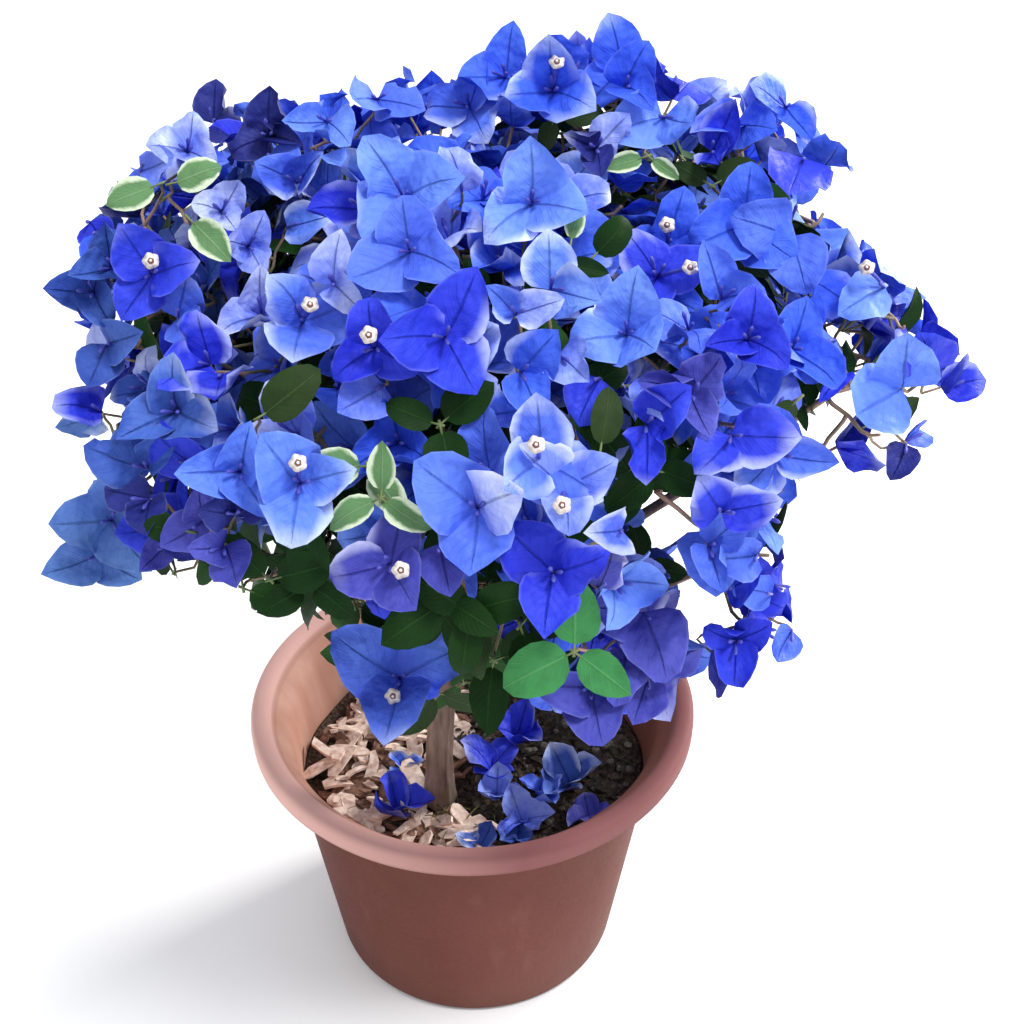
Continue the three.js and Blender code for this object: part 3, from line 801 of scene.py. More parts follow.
# %% Bark shape and finish
def barky(radius_at, length, phase=0.0):
    """The plain radius plus furrows, swellings and scars, all in millimetres and fading with size."""
    def radius(share, angle):
        plain = radius_at(share, angle)
        along = share * length
        furrow = np.sin(7 * angle + 1.2 * np.sin(along / 17 + phase) + along / 40)
        fine = np.sin(13 * angle - along / 9 + phase) * np.sin(along / 3.1 + 2 * angle)
        swelling = np.sin(along / 23 + phase) * np.sin(2 * angle + along / 55)
        scar = np.exp(-((along / 27 + 0.25 * np.sin(angle + phase)) % 1 - 0.5) ** 2 / 0.004)
        return plain * (1 + 0.045 * furrow + 0.025 * fine + 0.05 * swelling + 0.035 * scar)
    return radius


def collared(radius_at):
    """A bough's radius with a collar that dies out over its first tenth."""
    def radius(share, angle):
        return radius_at(share, angle) + 1.6 * np.exp(-share / 0.06)
    return radius


bark_finish = Finish("grey_bark", 0.85, 0.25)
rib = bark_finish.noise(150, 6, (1, 1, 0.22))
blotch = bark_finish.noise(45, 3)
bark_colour = bark_finish.blend(rib.between(0.35, 0.65), (106, 86, 76), (162, 140, 126))
bark_finish.colour(bark_finish.blend(blotch.between(0.5, 0.7) * 0.5, bark_colour, (118, 112, 92)))
bark_finish.relief(rib, 0.0012, 0.7)


def merged(parts):
    """Several (points, [faces]) joined, with the quads and the triangles each kept together."""
    points = np.concatenate([part[0] for part in parts])
    shifts = np.cumsum([0] + [len(part[0]) for part in parts[:-1]])
    blocks = []
    for size in (4, 3):
        found = [block + shift for part, shift in zip(parts, shifts) for block in part[1]
                 if block.shape[1] == size]
        if found:
            blocks.append(np.concatenate(found))
    return points, blocks


TRUNK_LENGTH = 235
BOUGH_LENGTH = 120
ROOT_DEPTH = 5
trunk_limb = limb(trunk_curve, barky(trunk_radius, TRUNK_LENGTH), sides=48, steps=150)
make_piece("trunk_bark", *trunk_limb, bark_finish.material, "bark", replaces=["trunk"])
bough_limbs = []
for lobe, curve in bough_curves.items():
    start = curve.controls[0] - unit(curve.controls[1] - curve.controls[0]) * ROOT_DEPTH
    rooted = Curve(start, *curve.controls[1:])
    radius_at = collared(barky(bough_radius, BOUGH_LENGTH, phase=lobe))
    bough_limbs.append(limb(rooted, radius_at, sides=16, steps=44))
make_piece("bough_bark", *merged(bough_limbs), bark_finish.material, "bark",
           replaces=[f"bough_{name}" for name in names])

# %% [markdown]
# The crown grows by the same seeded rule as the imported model, so each spray comes out where its
# solid is. Directions turn by the golden angle round the crown's heart. A spray is set just under the
# outline, its shoot branches from the nearest joint of its lobe, and one that would touch a limb or
# another spray is left off.

# %% The seeded rule
GOLDEN_TURN = math.pi * (3 - math.sqrt(5))
PIECE_GAP = 0.5
STEM_RADIUS = 2
SHOOT_RADIUS = 1.3
STEM_JOINTS = (0.35, 0.65, 0.93)
SHOOT_JOINTS = (0.35, 0.7)
LAYERS = (0, 14, 30, 48, 68)
TRIES_PER_LAYER = 760
LOWEST_TRY = -0.72
SPRAY_INSET = 24
SPRAY_RISE = 0.25
SPRAY_TILT = 0.9
BRACT = {"length": 36, "width": 33, "widest": 0.55, "notch": 0.2, "lift": (0.25, 0.85)}
WHORL_LEAF = {"length": 40, "width": 23, "widest": 0.5, "notch": 0.12, "lift": (-0.1, 0.5)}
SPRAY_THICKNESS = 1.6
NECK_RADIUS = 1.5
NECK_RUN = 10
SHORTEST_REACH = 45
WAYS_TRIED = 4
LEAF_PLACE = 0.6
BARE_STUB = 4
LEAF_SIZE = 0.95
LEAF_LEAN = 0.5


def seeded(seed):
    """Numbers from 0 to 1, the same on every run: each state is a fixed multiple of the last."""
    state = (seed * 7919 + 12345) % 4294967296
    while True:
        state = (state * 1664525 + 1013904223) % 4294967296
        yield state / 4294967296


def crossings(origin, direction):
    """The terms of the quadratic whose roots are where a line crosses each lobe's ellipsoid: the
    square term, half the linear term, and the part under the root, which is below 0 for a miss."""
    line = direction / half_sizes
    start = (origin - middles) / half_sizes
    a = (line * line).sum(1)
    b = (line * start).sum(1)
    c = (start * start).sum(1) - 1
    return a, b, b * b - a * c


def crown_reach(direction):
    """How far the crown reaches from its heart: the far crossing of the outermost lobe's ellipsoid."""
    a, b, inside = crossings(CROWN_HEART, direction)
    return np.where(inside < 0, 0, (-b + np.sqrt(np.maximum(inside, 0))) / a).max()


def nearest_lobe(point):
    return int(np.argmin(np.linalg.norm((point - middles) / half_sizes, axis=1)))


def square_to(axis):
    """Two directions square to an axis, or to each of an array of axes, and to each other."""
    aside = np.where(np.abs(axis[..., 2:]) < 0.9, UP, [1.0, 0.0, 0.0])
    first = unit(np.cross(axis, aside))
    return first, np.cross(axis, first)

# %% [markdown]
# A spray is three blades round a heart, on a shoot that opens out under it. Both are one small
# closed solid.

# %% A spray's solid
def spray_outline(heart, axis, shape):
    """For each of three blades a notch, a shoulder, the tip and the other shoulder, as points at an
    angle, a distance out and a rise along the axis."""
    right, ahead = square_to(axis)
    blade = shape["blade"]
    length = blade["length"] * shape["size"]
    shoulder = math.atan2(blade["width"] / 2, blade["length"] * blade["widest"])
    out = math.hypot(blade["width"] / 2, blade["length"] * blade["widest"]) * shape["size"]
    rows = []
    for k, cup in enumerate(shape["cups"]):
        turn = (shape["roll"] + k / 3) * math.pi * 2
        lift = blade["lift"][0] + (blade["lift"][1] - blade["lift"][0]) * cup
        flat = math.cos(lift)
        steep = math.sin(lift)
        edge = math.atan2(math.tan(shoulder), flat)
        edge_out = out * math.hypot(math.cos(shoulder) * flat, math.sin(shoulder))
        rows.append((turn - math.pi / 3, length * blade["notch"], length * 0.06))
        rows.append((turn - edge, edge_out, out * steep * 0.9))
        rows.append((turn, length * flat, length * steep * 0.85))
        rows.append((turn + edge, edge_out, out * steep * 0.9))
    turn, out, rise = np.array(rows).T[..., None]
    return heart + right * out * np.cos(turn) + ahead * out * np.sin(turn) + axis * rise


def bend_under(heart, axis):
    """Where a shoot bends: under its spray by the spray's thickness and the run of its neck."""
    return heart - axis * (SPRAY_THICKNESS + NECK_RUN)


def spray_faces():
    """The faces of a shoot with its spray: a fan over the top, and a shoot that opens out under it.
    Points 0 and 1 are the heart and the start, 2 to 13 the outline, then two rings of three."""
    edge = [2 + i % 12 for i in range(14)]
    ring = [[14 + row * 3 + k % 3 for k in range(4)] for row in (0, 1)]
    faces = [(0, edge[i], edge[i + 1]) for i in range(12)]
    for k in range(3):
        below = ring[0][k], ring[0][k + 1]
        neck = ring[1][k], ring[1][k + 1]
        rim = edge[4 * k:4 * k + 4] + [edge[(4 * k + 4) % 12]]
        faces += [(1, below[1], below[0]), (below[0], below[1], neck[1]), (below[0], neck[1], neck[0])]
        faces += [(neck[0], rim[1], rim[0]), (neck[0], rim[2], rim[1]), (neck[0], neck[1], rim[2])]
        faces += [(neck[1], rim[3], rim[2]), (neck[1], rim[4], rim[3])]
    return faces


SPRAY_FACES = spray_faces()


def spray_solid(start, heart, axis, shape):
    """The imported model's spray and shoot: the shoot starts in a point, bends under the spray with a
    ring turned halfway, and its last ring is the middle of the spray's underside."""
    outline = spray_outline(heart, axis, shape)
    neck = heart - axis * SPRAY_THICKNESS
    bend = bend_under(heart, axis)
    forward = (bend - start) @ axis > 0
    halfway = unit(unit(bend - start) + axis) if forward else axis
    swing = Vector(axis).rotation_difference(Vector(halfway))
    away = outline[::4] - heart
    spokes = unit(away - (away @ axis)[:, None] * axis)
    below = [bend + np.array(swing @ Vector(spoke)) * SHOOT_RADIUS for spoke in spokes]
    points = np.concatenate([[heart, start], outline, below, neck + spokes * NECK_RADIUS])
    return Solid(points, [SPRAY_FACES])

# %% [markdown]
# Side leaves and stems are solids too. A leaf has eight faces and is folded along its midrib, and a
# stem is a three-sided twig.

# %% Side leaves and stems
def leaf_solid(root, axis, turn):
    """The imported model's side leaf: eight faces, folded along the midrib."""
    along, facing = leaf_directions(axis, turn, LEAF_LEAN)
    across = unit(np.cross(along, facing))
    up = np.cross(across, along)
    local = [(0, 0, 0), (11.5, 17.1, 3.5), (0, 38, -1), (-11.5, 17.1, 3.5), (0, 17.1, 0.6), (0, 17.1, -0.6)]
    points = [root + across * a * LEAF_SIZE + along * (b * LEAF_SIZE - 0.5) + up * c * LEAF_SIZE
              for a, b, c in local]
    top = [(4, 0, 1), (4, 1, 2), (4, 2, 3), (4, 3, 0)]
    bottom = [(5, 1, 0), (5, 2, 1), (5, 3, 2), (5, 0, 3)]
    return Solid(points, [top + bottom])


def leaf_directions(axis, turn, lean):
    """Which way a side leaf runs and which way it faces."""
    right, ahead = square_to(axis)
    radial = right * math.cos(turn) + ahead * math.sin(turn)
    return unit(radial + axis * lean), unit(axis - radial * lean)


def twig_solid(start, end):
    """A triangle square to the twig at either end, smaller at the far one, and six faces between."""
    right, ahead = square_to(unit(end - start))
    points = []
    for at, radius in ((start, STEM_RADIUS), (end, SHOOT_RADIUS)):
        for k in range(3):
            turn = k * math.pi * 2 / 3
            points.append(at + right * radius * math.cos(turn) + ahead * radius * math.sin(turn))
    sides = []
    for k in range(3):
        after = (k + 1) % 3
        sides += [(k, after, 3 + after), (k, 3 + after, 3 + k)]
    return Solid(np.array(points), [[(0, 2, 1), (3, 4, 5), *sides]])


# %% [markdown]
# The rule is then followed step by step. What has grown is kept with the ball round it, so that only
# near neighbours are looked at closely, and each new shoot swaps its joint for two more.

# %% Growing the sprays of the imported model
class Crown:
    """What has grown so far: each shoot with its spray, each leaf, and the joints left open."""

    def __init__(self):
        self.settled = []
        self.joints = {}
        self.shoots = []
        self.leaves = []
        self.stems = []
        self.hearts = []

    def settle(self, solid, owner, is_spray):
        self.settled.append((solid, owner, is_spray))
        self.balls = np.array([(*s.middle, s.radius) for s, _, _ in self.settled])

    def is_clear(self, solid, counts):
        apart = np.linalg.norm(self.balls[:, :3] - solid.middle, axis=1)
        near = np.nonzero(apart <= self.balls[:, 3] + solid.radius + PIECE_GAP)[0]
        for i in near:
            other, owner, is_spray = self.settled[i]
            if counts(other, owner, is_spray) and other.comes_within(solid, PIECE_GAP):
                return False
        return True

    def joints_by(self, lobe, place):
        """The open joints of a lobe, nearest to a place first."""
        return sorted(self.joints[lobe], key=lambda joint: np.linalg.norm(joint - place))

    def branch(self, lobe, start, heart, axis, shape, kind):
        """Adds a shoot from a joint, and swaps the joint for two new ones along the shoot."""
        bend = bend_under(heart, axis)
        index = next(i for i, joint in enumerate(self.joints[lobe]) if joint is start)
        self.joints[lobe][index:index + 1] = [start + (bend - start) * place for place in SHOOT_JOINTS]
        self.shoots.append({"start": start, "bend": bend, "heart": heart, "axis": axis, "kind": kind,
                            **shape})
        self.hearts.append(heart)

# %% [markdown]
# Each try draws ten numbers, whether or not a spray comes of it, just as the model's source does. A
# spray has to be clear of everything, and its shoot of all but its own lobe's stem and shoots.

# %% Walking round the crown
def aim(i, tries, numbers):
    """The direction of try i: it steps down evenly and turns by the golden angle, swaying a little.
    Its spray's axis leans up toward the light and aside by chance."""
    rise = 1 + (LOWEST_TRY - 1) * (i + 0.5) / tries
    turn = i * GOLDEN_TURN + (numbers[0] - 0.5) * 0.3
    level = math.sqrt(1 - rise * rise)
    direction = np.array([level * math.cos(turn), level * math.sin(turn), rise])
    tilt = np.array([numbers[7] - 0.5, numbers[8] - 0.5, 0]) * SPRAY_TILT
    return direction, unit(direction + UP * SPRAY_RISE + tilt)


def tried_hearts(layers, tries, seed):
    """Every try of the walk round the crown: its seeded numbers, the heart that it would give a spray
    under the outline, and the spray's axis. Tries too near the crown's heart are passed over."""
    draw = seeded(seed)
    for layer in layers:
        for i in range(tries):
            numbers = [next(draw) for _ in range(10)]
            direction, axis = aim(i, tries, numbers)
            reach = crown_reach(direction) - SPRAY_INSET * (0.8 + 0.5 * numbers[9]) - layer
            if reach >= SHORTEST_REACH:
                yield numbers, CROWN_HEART + direction * reach, axis


crown = Crown()
for lobe, solid in bough_solids.items():
    crown.settle(solid, None, False)
crown.settle(trunk_solid, None, False)
for lobe in range(len(LOBES)):
    tip = bough_curves[lobe].point(1) + bough_curves[lobe].heading(1) * (SEAT_GAP + 0.1)
    crown.settle(twig_solid(tip, middles[lobe]), lobe, False)
    crown.stems.append((tip, middles[lobe]))
    crown.joints[lobe] = [tip + (middles[lobe] - tip) * share for share in STEM_JOINTS]

for numbers, heart, axis in tried_hearts(LAYERS, TRIES_PER_LAYER, 1):
    lobe = nearest_lobe(heart)
    blade = WHORL_LEAF if leafy[lobe] else BRACT
    size = 0.85 + 0.3 * numbers[5]
    shape = {"blade": blade, "roll": numbers[1], "cups": numbers[2:5], "size": size}
    spray = spray_solid(heart - axis * BARE_STUB, heart, axis, shape)
    if not crown.is_clear(spray, lambda *_: True):
        continue
    bend = bend_under(heart, axis)
    for start in crown.joints_by(lobe, bend)[:WAYS_TRIED]:
        shoot = spray_solid(start, heart, axis, shape)
        if crown.is_clear(shoot, lambda _, owner, is_spray: owner != lobe or is_spray):
            break
    else:
        continue
    crown.settle(spray, lobe, True)
    crown.settle(shoot, lobe, False)
    crown.branch(lobe, start, heart, axis, shape, "leaves" if leafy[lobe] else "blossom")
    root = start + (bend - start) * LEAF_PLACE
    turn = numbers[6] * math.pi * 2
    leaf = leaf_solid(root, axis, turn)
    if crown.is_clear(leaf, lambda other, *_: other is not shoot):
        crown.settle(leaf, lobe, True)
        crown.leaves.append((root, axis, turn))
print(len(crown.shoots), "sprays and", len(crown.leaves), "side leaves, as in the packed model")

# %% [markdown]
# Next come the sprays that the photograph shows most clearly. Each was placed by the pixel of its
# heart, so the camera comes first. A line of sight is followed to the first lobe that it meets, and
# the spray is set just inside it, on a shoot from the nearest joint, so that it holds from any side.

# %% The camera and its lines of sight
CAMERA_PLACE = np.array([22.6, -657.6, 736.7])
CAMERA_PITCH = math.radians(33.7)
FOCAL_PIXELS = 1500
FRAME_PIXELS = 1024
SENSOR_WIDTH = 36
AHEAD = np.array([0, math.cos(CAMERA_PITCH), -math.sin(CAMERA_PITCH)])
ABOVE = np.array([0, math.sin(CAMERA_PITCH), math.cos(CAMERA_PITCH)])

camera_data = bpy.data.cameras.new("camera")
camera_data.sensor_width = SENSOR_WIDTH
camera_data.lens = FOCAL_PIXELS * SENSOR_WIDTH / FRAME_PIXELS
camera = bpy.data.objects.new("camera", camera_data)
camera.location = CAMERA_PLACE * MM
camera.rotation_euler = (math.pi / 2 - CAMERA_PITCH, 0, 0)
bpy.context.scene.collection.objects.link(camera)
bpy.context.scene.camera = camera


def sight(x, y):
    """The direction in which the camera sees a pixel, counted from the top left corner."""
    half = FRAME_PIXELS / 2
    return unit(AHEAD * FOCAL_PIXELS + np.array([x - half, 0, 0]) - ABOVE * (y - half))


def seen(points):
    """The pixel that each point falls on, and how far ahead of the camera it lies."""
    ray = np.asarray(points) - CAMERA_PLACE
    depth = ray @ AHEAD
    scale = FOCAL_PIXELS / depth
    half = FRAME_PIXELS / 2
    return np.stack([half + ray[..., 0] * scale, half - (ray @ ABOVE) * scale], -1), depth


def first_met(x, y):
    """Where a line of sight first enters a lobe: the nearer root of its ellipsoid's quadratic. A line
    that misses them all stops where it passes closest to one."""
    a, b, inside = crossings(CAMERA_PLACE, sight(x, y))
    if inside.max() < 0:
        near = np.argmax(inside / a)
        return CAMERA_PLACE + sight(x, y) * (-b[near] / a[near])
    far = np.where(inside > 0, (-b - np.sqrt(np.maximum(inside, 0))) / a, np.inf)
    return CAMERA_PLACE + sight(x, y) * far.min()


# %% [markdown]
# A row below gives a spray's pixel, its turn about its axis as a share of a full turn, its size and
# its tint, and for an open flower the pixel of its star. A sprig of leaves has a kind, its depth in
# the crown and a number of leaves. The ovals of sky are pixels with half-sizes.

# %% Blossom and leaves placed by their pixels
OPEN_FLOWERS = [
    (553, 92, 0.75, 1.15, "bright", (557, 62)), (667, 246, 0.72, 0.95, "bright", (667, 225)),
    (657, 278, 0.2, 1.0, "deep", (690, 268)), (885, 287, 0.45, 1.1, "sky", (867, 268)),
    (676, 553, 0.8, 0.95, "mid", (682, 575)), (300, 484, 0.2, 1.1, "sky", (298, 463)),
    (400, 678, 0.25, 1.3, "mid", (393, 696)), (391, 564, 0.07, 0.95, "violet", (401, 570)),
    (540, 462, 0.75, 1.0, "mid", (536, 445)), (564, 488, 0.22, 0.9, "frosted", (562, 505)),
    (303, 322, 0.86, 1.05, "mid", (310, 305)), (376, 348, 0.1, 0.9, "deep", (369, 335)),
    (152, 274, 0.5, 0.95, "deep", (151, 261)),
]
CLEAR_SPRAYS = [
    (625, 88, 0.69, 1.0, "bright"), (663, 118, 0.72, 1.05, "sky"), (735, 125, 0.78, 1.05, "bright"),
    (786, 108, 0.66, 0.9, "bright"), (804, 158, 0.52, 1.3, "deep"), (712, 152, 0.02, 0.9, "deep"),
    (759, 196, 0.7, 0.7, "pale"), (671, 205, 0.72, 0.9, "bright"), (722, 212, 0.4, 0.75, "frosted"),
    (596, 149, 0.3, 0.75, "indigo"), (721, 300, 0.8, 1.0, "mid"), (801, 284, 0.25, 1.0, "deep"),
    (833, 254, 0.72, 0.9, "pale"), (912, 332, 0.5, 0.85, "frosted"), (902, 388, 0.1, 1.25, "sky"),
    (934, 372, 0.5, 1.15, "deep"), (882, 438, 0.25, 0.95, "indigo"), (627, 335, 0.75, 1.15, "sky"),
    (650, 374, 0.3, 0.9, "frosted"), (747, 340, 0.05, 0.9, "deep"), (790, 350, 0.35, 0.95, "bright"),
    (836, 340, 0.8, 0.95, "sky"), (646, 425, 0.28, 1.05, "deep"), (731, 436, 0.15, 1.0, "deep"),
    (776, 455, 0.45, 1.0, "mid"), (690, 395, 0.3, 0.85, "violet"), (622, 530, 0.68, 1.0, "frosted"),
    (721, 512, 0.2, 0.95, "deep"), (757, 555, 0.66, 1.05, "mid"), (792, 630, 0.45, 0.75, "mid"),
    (736, 640, 0.25, 0.8, "deep"), (553, 572, 0.2, 1.0, "deep"), (643, 612, 0.3, 1.15, "violet"),
    (590, 688, 0.3, 1.05, "violet"), (648, 676, 0.5, 1.0, "violet"), (598, 588, 0.7, 0.9, "violet"),
    (240, 472, 0.0, 1.0, "sky"), (478, 508, 0.25, 1.15, "mid"), (440, 543, 0.3, 0.8, "violet"),
    (384, 385, 0.78, 1.0, "frosted"), (404, 199, 0.85, 1.25, "sky"), (366, 210, 0.02, 0.95, "deep"),
    (531, 205, 0.75, 1.15, "sky"), (505, 228, 0.28, 1.05, "deep"), (566, 202, 0.5, 0.8, "pale"),
    (462, 192, 0.45, 0.85, "pale"), (410, 252, 0.78, 1.0, "mid"), (287, 228, 0.8, 1.0, "sky"),
    (334, 285, 0.75, 0.8, "pale"), (445, 338, 0.33, 1.15, "deep"), (480, 322, 0.6, 1.0, "sky"),
    (327, 122, 0.7, 0.95, "sky"), (377, 100, 0.76, 1.0, "mid"), (268, 155, 0.7, 1.0, "mid"),
    (298, 184, 0.6, 0.9, "mid"), (470, 108, 0.7, 0.9, "mid"), (248, 247, 0.3, 0.7, "pale"),
    (262, 316, 0.1, 0.8, "pale"), (558, 355, 0.35, 0.9, "frosted"), (550, 290, 0.75, 0.95, "sky"),
    (515, 315, 0.2, 0.8, "mid"), (210, 365, 0.1, 1.0, "deep"), (600, 378, 0.2, 0.9, "deep"),
    (520, 372, 0.3, 0.9, "bright"), (214, 124, 0.75, 0.95, "indigo"), (270, 136, 0.75, 0.85, "indigo"),
    (98, 232, 0.97, 1.0, "bright"), (140, 236, 0.4, 0.9, "deep"), (113, 268, 0.1, 0.9, "steel"),
    (94, 292, 0.02, 0.8, "steel"), (108, 344, 0.2, 1.0, "steel"), (178, 318, 0.7, 0.9, "mid"),
    (223, 374, 0.6, 1.05, "deep"), (178, 412, 0.75, 1.05, "steel"), (102, 412, 0.97, 1.0, "deep"),
    (147, 468, 0.3, 1.0, "steel"), (112, 520, 0.0, 1.15, "cyan"), (98, 554, 0.06, 0.9, "cyan"),
    (120, 536, 0.4, 0.95, "cyan"), (826, 170, 0.5, 0.75, "deep"), (506, 78, 0.75, 0.95, "bright"),
    (622, 70, 0.8, 1.0, "bright"), (140, 172, 0.85, 0.8, "frosted"), (188, 152, 0.7, 0.8, "pale"),
    (222, 212, 0.3, 0.7, "pale"), (906, 444, 0.2, 0.72, "indigo"), (946, 368, 0.5, 0.85, "deep"),
    (90, 222, 0.02, 0.8, "deep"), (744, 226, 0.75, 1.15, "bright"), (790, 236, 0.3, 1.15, "mid"),
    (814, 238, 0.6, 0.85, "mid"), (764, 262, 0.4, 0.9, "sky"), (850, 304, 0.3, 0.9, "bright"),
    (872, 350, 0.7, 0.95, "mid"), (842, 374, 0.2, 0.8, "deep"), (908, 350, 0.4, 0.85, "mid"),
    (806, 464, 0.55, 0.9, "bright"), (708, 545, 0.3, 0.85, "mid"), (726, 590, 0.6, 0.85, "deep"),
    (772, 594, 0.3, 0.8, "mid"), (926, 330, 0.8, 0.95, "frosted"), (512, 80, 0.75, 0.8, "bright"),
    (224, 546, 0.35, 0.8, "violet"), (172, 540, 0.8, 0.7, "violet"), (206, 520, 0.1, 0.75, "violet"),
    (150, 500, 0.3, 0.8, "indigo"), (236, 514, 0.6, 0.7, "indigo"), (626, 648, 0.9, 1.0, "violet"),
]
# The dark sprigs deep in the crown also fill dark gaps, standing partly for the shade there.
LEAF_SPRIGS = [
    (574, 652, 0.75, 1.05, "fresh", -44, 3), (381, 498, 0.09, 0.85, "variegated", 2, 3),
    (368, 466, 0.98, 0.85, "variegated", 6, 2), (160, 184, 0.06, 1.0, "variegated", 0, 1),
    (170, 184, 0.53, 1.0, "variegated", 0, 1), (188, 218, 0.36, 0.9, "variegated", 0, 1),
    (258, 418, 0.58, 1.15, "olive", 4, 1), (600, 452, 0.7, 0.95, "olive", 8, 1),
    (648, 156, 0.05, 0.7, "variegated", 10, 2), (712, 186, 0.6, 0.7, "olive", 16, 2),
    (570, 246, 0.7, 0.6, "variegated", 10, 1), (592, 258, 0.6, 0.9, "dark", 14, 1),
    (800, 398, 0.1, 0.7, "olive", 10, 2), (838, 392, 0.45, 0.75, "variegated", 4, 1),
    (136, 516, 0.5, 0.8, "mid", 4, 1), (192, 532, 0.98, 0.8, "dark", 8, 2),
    (196, 555, 0.22, 0.95, "mid", 0, 1), (440, 425, 0.3, 0.9, "dark", 18, 3),
    (578, 396, 0.25, 0.8, "dark", 18, 2), (470, 612, 0.9, 1.15, "dark", 14, 3),
    (494, 660, 0.22, 1.25, "dark", 20, 3), (446, 600, 0.1, 1.0, "dark", 14, 3),
    (520, 626, 0.3, 1.15, "dark", 26, 2), (355, 606, 0.1, 1.0, "dark", 22, 3),
    (270, 580, 0.2, 0.95, "dark", 14, 3), (308, 584, 0.4, 1.0, "dark", 18, 3),
    (243, 588, 0.1, 0.8, "mid", 14, 3), (556, 116, 0.2, 0.7, "olive", 16, 2),
    (655, 470, 0.8, 0.8, "dark", 20, 3), (560, 262, 0.1, 0.7, "dark", 18, 2),
]
SKY = np.array([
    (663, 519, 18, 21), (697, 600, 10, 12), (820, 432, 10, 9), (843, 411, 7, 10),
    (905, 590, 112, 110), (850, 530, 66, 50), (800, 722, 70, 55),
    (905, 90, 90, 62), (850, 207, 38, 9), (975, 225, 85, 68), (900, 202, 40, 26),
    (1010, 330, 48, 36), (985, 440, 46, 40), (962, 492, 42, 40),
    (312, 62, 38, 32), (422, 42, 58, 22), (702, 48, 32, 30), (146, 86, 46, 42), (60, 158, 60, 45),
    (328, 728, 36, 26), (30, 350, 46, 40), (46, 466, 40, 20), (4, 550, 30, 60),
    (100, 640, 100, 50), (235, 652, 68, 36),
], float)

# %% [markdown]
# A placed spray looks mostly back along its line of sight. Its shoot comes from the nearest joint of
# its lobe from which it crosses no gap of sky, where there is one.

# %% Setting the placed sprays
FLOWER_DEPTH = 5
BLOSSOM_DEPTH = 14
FLOWER_RISE = 15
SHOOT_LOOKS = 15
JOINTS_TRIED = 6
OUT_SHARE = 0.45
BACK_SHARE = 0.8
UP_SHARE = 0.1
placing = np.random.default_rng(5)


def in_ovals(points, ovals, margin=0):
    """Whether each point is seen in one of the ovals, or nearer to it than the margin."""
    pixels, _ = seen(points)
    share = (pixels[..., None, :] - ovals[:, :2]) / (ovals[:, 2:] + margin)
    return ((share ** 2).sum(-1) < 1).any(-1)


def crosses_sky(start, bend):
    along = start + (bend - start) * np.linspace(0, 1, SHOOT_LOOKS)[:, None]
    return bool(in_ovals(along, SKY).any())


def nearest_joint(lobe, bend):
    """The nearest joint from which a straight shoot leaves the gaps of sky open, or else None."""
    ways = crown.joints_by(lobe, bend)[:JOINTS_TRIED]
    return next((joint for joint in ways if not crosses_sky(joint, bend)), None)


def placed(x, y, roll, size, kind, depth):
    """Sets a spray where a line of sight first meets the crown, facing mostly back along it."""
    surface = first_met(x, y)
    lobe = nearest_lobe(surface)
    outward = unit(surface - middles[lobe])
    axis = unit(outward * OUT_SHARE - sight(x, y) * BACK_SHARE + UP * UP_SHARE)
    heart = surface + sight(x, y) * depth
    start = nearest_joint(lobe, bend_under(heart, axis))
    start = crown.joints[lobe][0] if start is None else start
    shape = {"roll": roll, "cups": placing.uniform(0.0, 0.85, 3), "size": size}
    crown.branch(lobe, start, heart, axis, shape, kind)
    return crown.shoots[-1]


source_count = len(crown.shoots)
for x, y, roll, size, tint, star in OPEN_FLOWERS:
    shoot = placed(x, y, roll, size, "blossom", FLOWER_DEPTH)
    reach = np.linalg.norm(shoot["heart"] - CAMERA_PLACE) - FLOWER_RISE
    shoot.update(tint=tint, star=CAMERA_PLACE + sight(*star) * reach)
for x, y, roll, size, tint in CLEAR_SPRAYS:
    placed(x, y, roll, size, "blossom", BLOSSOM_DEPTH)["tint"] = tint
for x, y, roll, size, kind, depth, leaf_count in LEAF_SPRIGS:
    placed(x, y, roll, size, kind, depth)["leaf_count"] = leaf_count
clear_hearts = np.array(crown.hearts[source_count:])
clear_pixels, clear_depths = seen(clear_hearts)
print("placed", len(clear_hearts), "sprays by their pixels")

# %% [markdown]
# A spray of the rule gives way where it would crowd a placed one or stand before it: its shoot stays
# as a bare twig, since others branch from it. Where the photograph shows only leaves, mostly low in
# front, the rule's blossom turns to leaves too. Some of these places are dark gaps between the
# clusters, where dark leaves stand partly for the shade there.

# %% Making room
OWN_ROOM = 20
SIGHT_ROOM = 24
GREEN_PLACES = np.array([
    (290, 572, 60, 32), (450, 640, 92, 62), (200, 566, 30, 16), (448, 425, 34, 32), (566, 376, 20, 26),
    (672, 472, 22, 36), (508, 288, 14, 12), (600, 256, 14, 14), (330, 446, 18, 12), (590, 132, 28, 20),
    (704, 172, 40, 20), (798, 398, 56, 16),
], float)


def crowds(heart):
    """Whether a heart lies within a placed one's room, or within its patch of view and nearer."""
    pixel, depth = seen(heart)
    beside = np.linalg.norm(clear_pixels - pixel, axis=1) < SIGHT_ROOM
    close = np.linalg.norm(clear_hearts - heart, axis=1) < OWN_ROOM
    return bool((close | (beside & (depth < clear_depths))).any())


for shoot in crown.shoots[:source_count]:
    if crowds(shoot["heart"]):
        shoot["kind"] = "bare"
    elif in_ovals(shoot["heart"], GREEN_PLACES):
        shoot["kind"] = "leaves"
print(sum(shoot["kind"] == "bare" for shoot in crown.shoots), "shoots of the rule left bare")

# %% [markdown]
# A real crown is fuller than its solids. The same walk round the crown is made again with more tries,
# first for blossom under the outline and then for leaves deeper in. Here a spray only has to keep a
# spacing from the others and stay off the limbs, because papery bracts do brush each other.

# %% Filling the crown
LIMB_PLACES = 30
LIMB_ROOM = 14
SKY_MARGIN = 26
limb_points = np.concatenate([curve.point(np.linspace(0, 1, LIMB_PLACES))
                              for curve in (trunk_curve, *bough_curves.values())])


